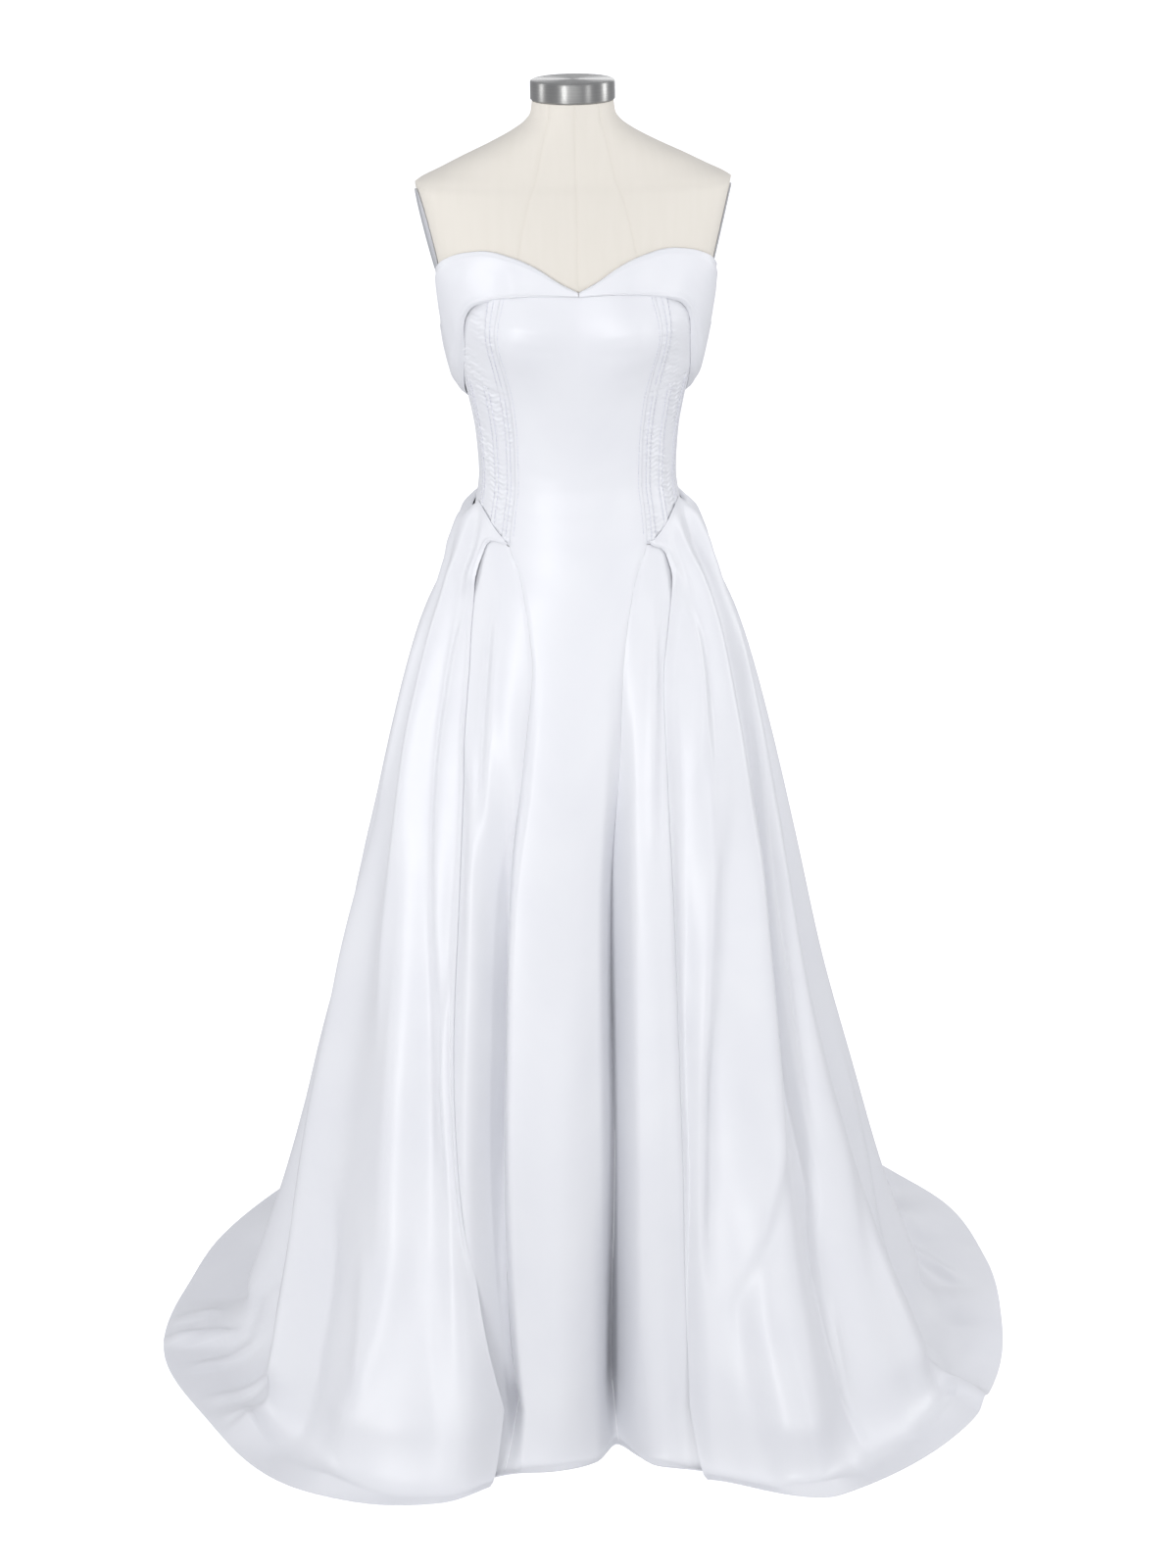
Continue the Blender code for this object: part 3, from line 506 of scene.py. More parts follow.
# Each path runs down from the hip by angle and height; ahead is the width towards the front
OVER_FOLDS = rows_of(
    FoldLine,
    (((-86, 0.7), (-80, 0.45), (-76, 0.36), (-70, 0.25), (-65, 0.17), (-58, 0.06)),
     0.015, 0.034, 0.008),
    (((-72, 0.95), (-68, 0.85), (-63.5, 0.72), (-60, 0.6), (-55, 0.45)), 0.008, 0.012, 0.02),
    (((-50, 0.56), (-46, 0.476), (-42.5, 0.344), (-38.7, 0.231), (-38, 0.14), (-39, 0.07)),
     0.0075, 0.018, 0.026),
    (((-43, 0.74), (-42, 0.66), (-41, 0.6), (-40.6, 0.52), (-39.5, 0.44), (-34.5, 0.35),
     (-29, 0.26)), -0.006, 0.01, 0.02),
    (((-80, 1), (-76, 0.86), (-71, 0.72), (-66, 0.6)), -0.0045, 0.01, 0.012),
    (((-62, 0.28), (-54, 0.17), (-49, 0.06)), -0.005, 0.018, 0.02),
    (((-96, 0.6), (-88, 0.36), (-78, 0.19), (-84, 0.07)), -0.006, 0.014, 0.012),
    (((59.5, 1), (53, 0.95), (47.5, 0.89), (39, 0.81), (33.5, 0.75)), 0.005, 0.01, 0.01),
    (((36.5, 0.84), (32, 0.76), (28.5, 0.69), (26.5, 0.6), (25, 0.53)), -0.005, 0.009, 0.009),
    (((54, 0.9), (44.8, 0.757), (37, 0.666), (30.5, 0.551), (26, 0.45), (23, 0.34)),
     0.0065, 0.012, 0.014),
    (((33, 0.54), (29, 0.46), (27, 0.39), (24.5, 0.309), (21.3, 0.2)), -0.0075, 0.01, 0.02),
    (((72, 0.88), (66, 0.79), (52.4, 0.648), (45.5, 0.49), (40.6, 0.373), (31.5, 0.28),
     (27.5, 0.17), (26, 0.07)), 0.006, 0.02, 0.013),
    (((82, 0.98), (69, 0.796), (57.8, 0.607), (53.2, 0.494), (51, 0.394), (49.5, 0.293),
     (45, 0.22), (42, 0.14), (40.5, 0.07)), -0.0085, 0.014, 0.0045),
    (((72.5, 0.8), (63, 0.64), (57.8, 0.5), (54.8, 0.4), (52.5, 0.31)), -0.006, 0.0045, 0.012),
    (((36, 0.3), (25.5, 0.18), (24.5, 0.07)), -0.006, 0.01, 0.01),
    (((84, 0.42), (82, 0.25), (76, 0.12), (70, 0.06)), 0.007, 0.03, 0.01),
    (((62, 0.3), (55, 0.15), (53, 0.06)), -0.006, 0.02, 0.018),
)

# The front panel and gores: soft valleys along the long seams and the ridges beside them
UNDER_FOLDS = rows_of(
    FoldLine,
    (((-36, 0.88), (-30.4, 0.784), (-28.9, 0.672), (-26.4, 0.527), (-24.4, 0.391), (-22.3, 0.225),
     (-19.6, 0.105), (-17, 0.06)), -0.018, 0.01, 0.022),
    (((-58, 0.96), (-47, 0.83), (-39.5, 0.763), (-35.4, 0.672), (-30.5, 0.547), (-28.6, 0.436),
     (-26, 0.272), (-22.7, 0.106)), 0.007, 0.009, 0.012),
    (((12.6, 0.83), (11.2, 0.72), (9.4, 0.6), (6.6, 0.45), (5.4, 0.341), (4.4, 0.172),
     (2.6, 0.06)), -0.015, 0.032, 0.009),
    (((29.4, 0.826), (24.2, 0.669), (21.3, 0.511), (19.6, 0.4), (18.4, 0.29), (16.5, 0.16)),
     0.005, 0.01, 0.012),
    (((-47, 0.985), (-46, 0.94), (-39, 0.79), (-36, 0.7)), -0.003, 0.005, 0.005),
    (((-43, 0.985), (-41.5, 0.94), (-35, 0.79), (-33, 0.7)), 0.0026, 0.005, 0.006),
    (((37, 0.99), (33, 0.94), (23, 0.79), (20, 0.68)), 0.0026, 0.005, 0.006),
    (((41, 0.985), (37, 0.94), (26.5, 0.79), (23, 0.7)), -0.003, 0.005, 0.005),
    (((-4, 0.62), (-6.5, 0.4), (-7.5, 0.2), (-7, 0.08)), 0.0035, 0.022, 0.022),
)

FLOOR_RUCKS = rows_of(
    Ruck,
    (-0.545, -0.03, -0.43, -0.045, 0.014, 0.009),
    (-0.535, 0.02, -0.47, 0.03, 0.008, 0.008),
    (-0.51, -0.11, -0.4, -0.07, 0.008, 0.009),
    (-0.48, -0.19, -0.37, -0.16, 0.006, 0.01),
    (-0.455, -0.24, -0.39, -0.235, 0.0045, 0.009),
    (-0.36, -0.27, -0.29, -0.33, 0.0045, 0.011),
    (0.395, -0.19, 0.49, -0.262, 0.017, 0.013),
    (0.36, -0.3, 0.42, -0.18, 0.0045, 0.014),
    (0.41, 0.2, 0.5, 0.06, 0.006, 0.012),
    (0.3, 0.46, 0.4, 0.36, 0.007, 0.016),
    (-0.16, 0.7, -0.12, 0.58, 0.008, 0.018),
    (0.1, 0.72, 0.08, 0.6, 0.007, 0.018),
    (-0.38, 0.36, -0.3, 0.3, 0.006, 0.014),
)


def through(
    knots: Sequence[float], values: Sequence[Any], at: np.ndarray, level_ends: bool = False
) -> np.ndarray:
    """Value at a place on the smooth curve through the knots that never overshoots.

    Args:
        knots: Rising places of the values.
        values: One number or one array, of the shape of the places, for each knot.
        at: The places.
        level_ends: Whether the curve is level at its two ends.

    Returns:
        The values at the places.
    """
    at = np.asarray(at, float)
    knots = np.asarray(knots, float)
    stack = np.stack([np.broadcast_to(np.asarray(v, float), at.shape) for v in values])
    step = np.diff(knots).reshape((-1,) + (1,) * at.ndim)
    slope = np.diff(stack, axis=0) / step
    before, after = slope[:-1], slope[1:]
    near, far = 2 * step[1:] + step[:-1], step[1:] + 2 * step[:-1]
    same = before * after > 0
    safe_before, safe_after = (np.where(same, side, 1.0) for side in (before, after))
    mean = (near + far) / (near / safe_before + far / safe_after)
    tangent = np.zeros_like(stack)
    tangent[1:-1] = np.where(same, mean, 0.0)
    if not level_ends:
        tangent[0], tangent[-1] = slope[0], slope[-1]
    at = np.clip(at, knots[0], knots[-1])
    spot = np.clip(np.searchsorted(knots, at, side="right") - 1, 0, len(knots) - 2)
    low, leave = (np.take_along_axis(of, spot[None], 0)[0] for of in (stack, tangent))
    high, arrive = (np.take_along_axis(of, spot[None] + 1, 0)[0] for of in (stack, tangent))
    span = np.diff(knots)[spot]
    t = (at - knots[spot]) / span
    bend = (2 * t**3 - 3 * t**2 + 1) * low + (3 * t**2 - 2 * t**3) * high
    return bend + span * ((t**3 - 2 * t**2 + t) * leave + (t**3 - t**2) * arrive)


def table(rows: Sequence[NamedTuple], name: str, at: np.ndarray) -> np.ndarray:
    """A named column of a table at places of its first column."""
    return through([row[0] for row in rows], [getattr(row, name) for row in rows], at)


def ease(low: float, high: float, at: np.ndarray) -> np.ndarray:
    """0 below low, 1 above high and smooth between."""
    t = np.clip((np.asarray(at, float) - low) / (high - low), 0.0, 1.0)
    return t * t * (3 - 2 * t)


def bell(off: np.ndarray, wide: float | np.ndarray) -> np.ndarray:
    """1 on a line and falling off to both sides of it."""
    return np.exp(-((off / wide) ** 2))


def wrapped(angle: np.ndarray) -> np.ndarray:
    """The same direction between -180 and 180 degrees."""
    return (np.asarray(angle, float) + 180.0) % 360.0 - 180.0


def even(start: float, end: float, count: int) -> np.ndarray:
    """Evenly spaced numbers, both ends included."""
    return np.linspace(start, end, count)


def crowded(count: int, pull: float = 0.55) -> np.ndarray:
    """Parts from 0 to 1 that lie closer together near both ends."""
    t = even(0.0, 1.0, count)
    return t - pull * np.sin(2 * np.pi * t) / (2 * np.pi)


def side_of(sign: int) -> str:
    """The side of the gown in names: -1 is left and 1 is right."""
    return "left" if sign < 0 else "right"


def plate_plane(height: np.ndarray) -> np.ndarray:
    """Distance of the arm plates' outer faces from the middle at a height."""
    return PLATE_OUT + (height - PLATE_LEVEL) * PLATE_LEAN


def form_radius(angle: np.ndarray, height: np.ndarray) -> np.ndarray:
    """Distance of the form's surface from the axis.

    Args:
        angle: Directions.
        height: Heights, or one height.

    Returns:
        The distances.
    """
    angle, height = np.broadcast_arrays(wrapped(angle), np.asarray(height, float))
    side, ahead = np.abs(np.sin(np.radians(angle))), np.cos(np.radians(angle))
    wide, front, back, square = (table(FORM, name, height) for name in Ring._fields[1:])
    deep = np.where(ahead >= 0, front, back)
    radius = ((side / wide) ** square + (np.abs(ahead) / deep) ** square) ** (-1 / square)
    off = (np.abs(angle) - BUST_ANGLE) / BUST_SPREAD
    rise = (height - BUST_HEIGHT) / BUST_RISE
    radius = radius + BUST_OUT * np.exp(-(off**2) - rise**2)
    flat = plate_plane(height) - PLATE_THICK - FIT_GAP
    reach = flat / np.maximum(side + ahead * PLATE_TURN, 0.05)
    return np.where(height > BUST_HEIGHT, np.minimum(radius, reach), radius)


def skirt_radius(angle: np.ndarray, height: np.ndarray, hem: Sequence[Hem]) -> np.ndarray:
    """Distance of the plain skirt from the axis, led to the foot of its hem below.

    Args:
        angle: Directions.
        height: Heights.
        hem: Table of the hem that the cloth ends on.

    Returns:
        The distances.
    """
    angle = wrapped(angle)
    around = np.abs(angle)
    cut = np.clip(height, 0.0, SKIRT_TOP)
    at_angles = [table(SKIRT, f"at_{a}", cut) for a in SKIRT_ANGLES]
    plain = through(SKIRT_ANGLES, at_angles, around, level_ends=True)
    at_foot = [row * np.ones_like(around) for row in SKIRT[0][1:]]
    foot_plain = through(SKIRT_ANGLES, at_foot, around, level_ends=True)
    foot = table(hem, "radius", angle) - table(hem, "flat", angle)
    plain = plain + (foot - foot_plain) * (1 - ease(0.0, 0.42, height))
    body = form_radius(angle, np.maximum(height, 0.98)) + BODICE_OUT
    return body + (plain - body) * (1 - ease(0.985, SKIRT_TOP, height))


def placed(angle: np.ndarray, radius: np.ndarray, height: np.ndarray) -> np.ndarray:
    """Points from angles, distances from the axis and heights."""
    turn = np.radians(angle)
    return np.stack([radius * np.sin(turn), -radius * np.cos(turn), height], axis=-1)


def bodice_point(angle: np.ndarray, height: np.ndarray, out: np.ndarray) -> np.ndarray:
    """Point off the form's surface by a distance."""
    return placed(angle, form_radius(angle, height) + out, height)


def creased(
    creases: Sequence[Crease], angle: np.ndarray, radius: np.ndarray, height: np.ndarray
) -> np.ndarray:
    """How far the listed creases move the cloth out at each point.

    Args:
        creases: The ridges and troughs.
        angle: Angles of the points.
        radius: Distances of the points from the axis.
        height: Heights of the points.

    Returns:
        The distances, positive outwards.
    """
    total = np.zeros(np.broadcast(angle, radius, height).shape)
    per_degree = np.radians(1.0) * radius
    for crease in creases:
        x = per_degree * (angle - crease.angle)
        z = height - crease.height
        dx = per_degree * (crease.end_angle - crease.angle)
        dz = crease.end_height - crease.height
        length = np.sqrt(dx**2 + dz**2)
        along = (x * dx + z * dz) / length**2
        ends = ease(-0.04, 0.30, along) * (1 - ease(0.70, 1.04, along))
        total = total + crease.out * ends * bell((x * dz - z * dx) / length, crease.wide)
    return total


def folded(
    lines: Sequence[FoldLine], angle: np.ndarray, radius: np.ndarray, height: np.ndarray
) -> np.ndarray:
    """How far long fold lines move the cloth out at each point.

    Args:
        lines: The ridges and troughs.
        angle: Angles of the points.
        radius: Distances of the points from the axis.
        height: Heights of the points.

    Returns:
        The distances, positive outwards.
    """
    total = np.zeros(np.broadcast(angle, radius, height).shape)
    for line in lines:
        angles, heights = zip(*line.path[::-1])
        low, top = heights[0], heights[-1]
        middle = through(heights, angles, height)
        off = np.radians(1.0) * radius * (angle - middle) * np.sign(middle)
        wide = np.where(off < 0, line.ahead, line.behind)
        fade = 0.30 * (top - low)
        ends = 1 - ease(top - fade, top + 0.02, height)
        if low > OVER_FOOT + 0.02:
            ends = ends * ease(low - 0.02, low + fade, height)
        total = total + line.out * ends * bell(off, wide)
    return total


def rucked(points: np.ndarray) -> np.ndarray:
    """How far ridges in the lying cloth raise each point.

    Args:
        points: Points of the cloth.

    Returns:
        The heights to add.
    """
    total = np.zeros(points.shape[:-1])
    for ruck in FLOOR_RUCKS:
        start = np.array([ruck.x, ruck.y])
        run = np.array([ruck.end_x, ruck.end_y]) - start
        length = np.linalg.norm(run)
        away = points[..., :2] - start
        along = away @ run / length**2
        off = (away[..., 0] * run[1] - away[..., 1] * run[0]) / length
        ends = ease(-0.08, 0.25, along) * (1 - ease(0.60, 1.10, along))
        total = total + ruck.rise * ends * bell(off, ruck.wide)
    return total


def linear(hexed: str) -> tuple[float, float, float, float]:
    """An sRGB hex colour as the linear colour that a shader takes."""
    parts = [int(hexed[i : i + 2], 16) / 255 for i in (1, 3, 5)]
    flat = [p / 12.92 if p <= 0.04045 else ((p + 0.055) / 1.055) ** 2.4 for p in parts]
    return (flat[0], flat[1], flat[2], 1.0)


def bands(spacing_mm: float) -> float:
    """The Wave Texture scale that draws bands that far apart."""
    return 2 * math.pi / (20 * spacing_mm / 1000)


# The output of a node that others read, where it isn't the first one
MAIN_OUTPUT = {
    "Mix": "Result",
    "TexWave": "Fac",
    "TexNoise": "Fac",
    "Attribute": "Fac",
    "TexCoord": "Object",
    "VectorMath": "Value",
    "LightPath": "Is Camera Ray",
}


def add_node(
    tree: bpy.types.NodeTree,
    kind: str,
    values: dict | None = None,
    links: dict | None = None,
    **settings: Any,
) -> bpy.types.NodeSocket | None:
    """Adds a node to a tree.

    Args:
        tree: The node tree.
        kind: The node's type name after ShaderNode.
        values: Socket values, by socket name or number.
        links: Output sockets to join, by input socket name or number.
        settings: Attributes of the node.

    Returns:
        The output that others read.
    """
    made = tree.nodes.new("ShaderNode" + kind)
    for key, value in settings.items():
        setattr(made, key, value)
    for key, value in (values or {}).items():
        made.inputs[key].default_value = value
    for key, source in (links or {}).items():
        tree.links.new(source, made.inputs[key])
    return made.outputs[MAIN_OUTPUT.get(kind, 0)] if made.outputs else None


@dataclass(frozen=True)
class Finish:
    """A finish of a surface: its name and how its material is made."""

    name: str

    def nodes(self, add: Callable[..., Any]) -> tuple[dict, dict]:
        """Adds the pattern's nodes and says what the Principled shader takes.

        Args:
            add: Adds a node to the material.

        Returns:
            The shader's socket values and links.
        """
        raise NotImplementedError

    def make(self) -> bpy.types.Material:
        """The material, which ends in one Principled shader."""
        made = bpy.data.materials.new(self.name)
        made.use_nodes = True
        made.node_tree.nodes.clear()
        add = partial(add_node, made.node_tree)
        shader = add("BsdfPrincipled", *self.nodes(add))
        add("OutputMaterial", links={"Surface": shader})
        return made


@dataclass(frozen=True)
class Satin(Finish):
    """Duchess satin, a heavy polyester weave whose long floats give broad highlights."""

    name: str = "duchess_satin"
    face: str = "#E9EAED"
    shade: str = "#E2E3E8"
    # Colour of the painted shade at seams and stitch grooves
    painted_seam_shade: str = "#DADBE0"
    float_mm: float = 1.1  # real floats are 0.2 mm; drawn coarse so that they show
    weft_mm: float = 1.7
    drift_mm: float = 90.0
    ripple_mm: float = 26.0
    ripple_deep: float = 0.00016
    weave_deep: float = 0.00002

    def nodes(self, add: Callable[..., Any]) -> tuple[dict, dict]:
        """Floats, weft, ripples and drift, which follow the cut through its UV map, and painted
        shade at seams.

        Args:
            add: Adds a node to the material.

        Returns:
            The shader's socket values and links.
        """
        cut = {"Vector": add("UVMap", uv_map="Cut")}
        threads = {"Scale": bands(self.float_mm), "Distortion": 1.2, "Detail": 1.0}
        floats = add("TexWave", threads, cut, bands_direction="X")
        threads = {"Scale": bands(self.weft_mm), "Distortion": 2.0, "Detail": 1.0}
        weft = add("TexWave", threads, cut, bands_direction="Y")
        cross = add("Math", {1: 0.5}, {0: floats}, operation="MULTIPLY")
        woven = add("Math", links={0: cross, 1: weft}, operation="ADD")
        long_way = add("Mapping", {"Scale": (1.0, 0.35, 1.0)}, cut)
        waves = {"Scale": 1000 / self.ripple_mm, "Detail": 2.0, "Roughness": 0.45}
        ripple = add("TexNoise", waves, {"Vector": long_way})
        drift = add("TexNoise", {"Scale": 1000 / self.drift_mm, "Detail": 3.0}, cut)
        soft = add("Bump", {"Strength": 1.0, "Distance": self.ripple_deep}, {"Height": ripple})
        both = {"Height": woven, "Normal": soft}
        fine = add("Bump", {"Strength": 0.6, "Distance": self.weave_deep}, both)
        tones = {"A": linear(self.face), "B": linear(self.shade)}
        tone = add("Mix", tones, {"Factor": drift}, data_type="RGBA")
        # Painted shade: the satin darkens where the Hollow attribute marks seams and stitch
        # grooves
        seam = {"Factor": add("Attribute", attribute_name="Hollow"), "A": tone}
        colour = add("Mix", {"B": linear(self.painted_seam_shade)}, seam, data_type="RGBA")
        rough = add("MapRange", {"To Min": 0.36, "To Max": 0.43}, {"Value": drift})
        gloss = {"Specular IOR Level": 0.50, "Sheen Weight": 0.08, "Sheen Roughness": 0.4}
        gloss["Anisotropic"] = 0.3
        return gloss, {"Base Color": colour, "Roughness": rough, "Normal": fine}


@dataclass(frozen=True)
class Linen(Finish):
    """Unbleached plain-weave linen stretched over the form: matt, faintly slubbed."""

    name: str = "plain_linen"
    face: str = "#E6E1D8"
    slub: str = "#E2DDD3"
    seam: str = "#DBD5CA"
    thread_mm: float = 1.3  # real threads are 0.5 mm; drawn coarse so that they show
    slub_mm: float = 9.0

    def nodes(self, add: Callable[..., Any]) -> tuple[dict, dict]:
        """A plain weave with slubs, which follows the cover through its UV map.

        Args:
            add: Adds a node to the material.

        Returns:
            The shader's socket values and links.
        """
        cut = {"Vector": add("UVMap", uv_map="Cut")}
        threads = {"Scale": bands(self.thread_mm), "Distortion": 2.5, "Detail": 2.0}
        warp, weft = (add("TexWave", threads, cut, bands_direction=way) for way in ("X", "Y"))
        woven = add("Math", links={0: warp, 1: weft}, operation="MULTIPLY")
        streaks = {"Vector": add("Mapping", {"Scale": (1.0, 0.15, 1.0)}, cut)}
        slubs = add("TexNoise", {"Scale": 1000 / self.slub_mm, "Detail": 4.0}, streaks)
        tones = {"A": linear(self.face), "B": linear(self.slub)}
        tone = add("Mix", tones, {"Factor": slubs}, data_type="RGBA")
        seam = {"Factor": add("Attribute", attribute_name="Hollow"), "A": tone}
        colour = add("Mix", {"B": linear(self.seam)}, seam, data_type="RGBA")
        bump = add("Bump", {"Strength": 0.5, "Distance": 0.00008}, {"Height": woven})
        matt = {"Roughness": 0.85, "Specular IOR Level": 0.2, "Sheen Weight": 0.1}
        return matt, {"Base Color": colour, "Normal": bump}


@dataclass(frozen=True)
class BrushedSteel(Finish):
    """Turned stainless steel, brushed round its axis: fine rings that blur reflections."""

    name: str = "brushed_steel"
    face: str = "#B8B8B6"
    line: str = "#8A8A89"
    ring_mm: float = 0.9  # real grit lines are 0.1 mm; drawn coarse so that they show

    def nodes(self, add: Callable[..., Any]) -> tuple[dict, dict]:
        """Rings that follow distance from the axis plus height.

        Args:
            add: Adds a node to the material.

        Returns:
            The shader's socket values and links.
        """
        x, y, z = add("SeparateXYZ", links={0: add("TexCoord")}).node.outputs
        flat = add("CombineXYZ", links={0: x, 1: y})
        reach = add("VectorMath", links={0: flat}, operation="LENGTH")
        along = add("Math", links={0: reach, 1: z}, operation="ADD")
        grit = {"Scale": 1000 / self.ring_mm, "Detail": 4.0, "Roughness": 0.7}
        rings = add("TexNoise", grit, {"W": along}, noise_dimensions="1D")
        tones = {"A": linear(self.line), "B": linear(self.face)}
        colour = add("Mix", tones, {"Factor": rings}, data_type="RGBA")
        rough = add("MapRange", {"To Min": 0.40, "To Max": 0.46}, {"Value": rings})
        bump = add("Bump", {"Strength": 0.35, "Distance": 0.00004}, {"Height": rings})
        metal = {"Metallic": 1.0, "Anisotropic": 0.85, "Anisotropic Rotation": 0.25}
        return metal, {"Base Color": colour, "Roughness": rough, "Normal": bump}


@dataclass(frozen=True)
class PowderCoat(Finish):
    """Powder-coated steel: an even coat with a faint orange-peel and rubbed spots."""

    coat: str
    rubbed: str
    peel_mm: float = 2.4
    wear_mm: float = 45.0

    def nodes(self, add: Callable[..., Any]) -> tuple[dict, dict]:
        """Orange-peel and rubbed spots, on Object coordinates.

        Args:
            add: Adds a node to the material.

        Returns:
            The shader's socket values and links.
        """
        place = {"Vector": add("TexCoord")}
        peel = add("TexNoise", {"Scale": 1000 / self.peel_mm, "Detail": 2.0}, place)
        spots = {"Scale": 1000 / self.wear_mm, "Detail": 5.0, "Roughness": 0.65}
        wear = add("TexNoise", spots, place)
        tones = {"A": linear(self.coat), "B": linear(self.rubbed)}
        colour = add("Mix", tones, {"Factor": wear}, data_type="RGBA")
        rough = add("MapRange", {"To Min": 0.32, "To Max": 0.5}, {"Value": wear})
        bump = add("Bump", {"Strength": 0.3, "Distance": 0.00005}, {"Height": peel})
        return {}, {"Base Color": colour, "Roughness": rough, "Normal": bump}


@dataclass(frozen=True)
class Thread(Finish):
    """Twisted polyester sewing thread: a soft sheen and a tighter tone than the satin."""

    name: str = "sewing_thread"
    strand: str = "#E4E4EE"
    shade: str = "#CFD0DE"
    twist_mm: float = 0.6

    def nodes(self, add: Callable[..., Any]) -> tuple[dict, dict]:
        """The twist of the strands, on Object coordinates.

        Args:
            add: Adds a node to the material.

        Returns:
            The shader's socket values and links.
        """
        place = {"Vector": add("TexCoord")}
        twist = add("TexNoise", {"Scale": 1000 / self.twist_mm, "Detail": 1.0}, place)
        tones = {"A": linear(self.strand), "B": linear(self.shade)}
        colour = add("Mix", tones, {"Factor": twist}, data_type="RGBA")
        bump = add("Bump", {"Strength": 0.4, "Distance": 0.00003}, {"Height": twist})
        return {"Roughness": 0.5, "Sheen Weight": 0.1}, {"Base Color": colour, "Normal": bump}


@dataclass(frozen=True)
class StudioPaper(Finish):
    """Matt white paper floor, lit until it is nearly pure white."""

    name: str = "white_paper"
    face: str = "#FBFBFC"
    glow: float = 0.74
    grain_mm: float = 10 / 3

    def nodes(self, add: Callable[..., Any]) -> tuple[dict, dict]:
        """Faint grain and a little light of its own.

        Args:
            add: Adds a node to the material.

        Returns:
            The shader's socket values and links.
        """
        grain = add("TexNoise", {"Scale": 1000 / self.grain_mm}, {"Vector": add("TexCoord")})
        rough = add("MapRange", {"To Min": 0.85, "To Max": 0.95}, {"Value": grain})
        paper = {"Base Color": linear(self.face), "Specular IOR Level": 0.1}
        lit = {"Emission Color": linear(self.face), "Emission Strength": self.glow}
        return paper | lit, {"Roughness": rough}


class Held(Enum):
    """How a sheet of cloth is held."""

    STRETCHED = "stretched"
    HUNG = "hung"
    DRAPED = "draped"
    FOLDED = "folded"


class Cut(NamedTuple):
    """A cloth piece's cut: flat sizes in metres and what it lies on."""

    slot: str
    held: Held
    width: float
    length: float
    area: float
    rests_on: str


def objected(
    name: str, mesh: bmesh.types.BMesh, finish: bpy.types.Material
) -> bpy.types.Object:
    """A bmesh made a smooth object in the scene, with its material."""
    data = bpy.data.meshes.new(name)
    mesh.to_mesh(data)
    mesh.free()
    data.polygons.foreach_set("use_smooth", [True] * len(data.polygons))
    data.materials.append(finish)
    made = bpy.data.objects.new(name, data)
    bpy.context.scene.collection.objects.link(made)
    return made


def surfaced(
    name: str,
    points: np.ndarray,
    finish: bpy.types.Material,
    hollow: np.ndarray | None = None,
) -> bpy.types.Object:
    """A flat grid shaped to points whose rows run down and columns to +angle.

    Args:
        name: The object's name.
        points: Rows by columns by three.
        finish: Its material.
        hollow: How deep in a seam each point lies, 0 to 1.

    Returns:
        The object, with a UV map Cut in metres along the cloth.
    """
    rows, columns = points.shape[:2]
    mesh = bmesh.new()
    bmesh.ops.create_grid(mesh, x_segments=columns - 1, y_segments=rows - 1, size=1.0)
    flat = np.array([vert.co[:2] for vert in mesh.verts])
    c = np.rint((flat[:, 0] + 1) / 2 * (columns - 1)).astype(int)
    r = np.rint((1 - flat[:, 1]) / 2 * (rows - 1)).astype(int)
    for vert, place in zip(mesh.verts, points[r, c]):
        vert.co = place
    for edge in mesh.edges:
        edge.smooth = not edge.is_boundary
    made = objected(name, mesh, finish)
    data = made.data
    across = np.linalg.norm(np.diff(points, axis=1), axis=-1)
    down = np.linalg.norm(np.diff(points, axis=0), axis=-1)
    u = np.concatenate([np.zeros((rows, 1)), np.cumsum(across, axis=1)], axis=1)
    v = np.concatenate([np.zeros((1, columns)), np.cumsum(down, axis=0)], axis=0)
    u = u - u[:, columns // 2 : columns // 2 + 1]
    cut = np.stack([u[r, c], -v[r, c]], axis=-1)
    corner = np.zeros(len(data.loops), int)
    data.loops.foreach_get("vertex_index", corner)
    data.uv_layers.new(name="Cut").data.foreach_set("uv", cut[corner].ravel())
    depth = np.zeros((rows, columns)) if hollow is None else hollow
    seam = data.attributes.new("Hollow", "FLOAT", "POINT")
    seam.data.foreach_set("value", depth[r, c].ravel())
    data.update()
    return made


def dressed(
    node: str,
    points: np.ndarray,
    finish: bpy.types.Material,
    hollow: np.ndarray | None = None,
    thick: float = SHELL,
    extras: Sequence[bpy.types.Object] = (),
) -> None:
    """Makes a cloth piece and puts it on its body.

    Args:
        node: The CAD node that it stands for.
        points: Rows by columns by three, on its outer face.
        finish: Its material.
        hollow: How deep in a seam each point lies, 0 to 1.
        thick: How far the cloth reaches inwards.
        extras: Pieces sewn on it.
    """
    made = surfaced(f"{node}_satin", points, finish, hollow)
    wall = made.modifiers.new("cloth", "SOLIDIFY")
    wall.thickness = thick
    wall.offset = -1.0
    wall.use_even_offset = False
    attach(made, "root")
    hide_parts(node)
    for extra in extras:
        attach(extra, "root")
    log.info("%s: %d points", made.name, len(made.data.vertices))


def seam_dip(distance: np.ndarray, deep: float = 0.0005, wide: float = 0.0020) -> np.ndarray:
    """How far cloth is pulled in beside a seam at a distance from it."""
    return deep * bell(distance, wide)


def puckers(angle: np.ndarray, height: np.ndarray, size: float) -> np.ndarray:
    """Uneven small waves, one above the other, where cloth is drawn up by its stitching."""
    wave = np.sin(height * 1080 + 1.3 * np.sin(angle * 0.9))
    wave = wave + 0.8 * np.sin(height * 431 + angle * 0.35 + 1.1)
    return size * wave * (0.55 + 0.45 * np.sin(height * 57 + angle * 0.21))


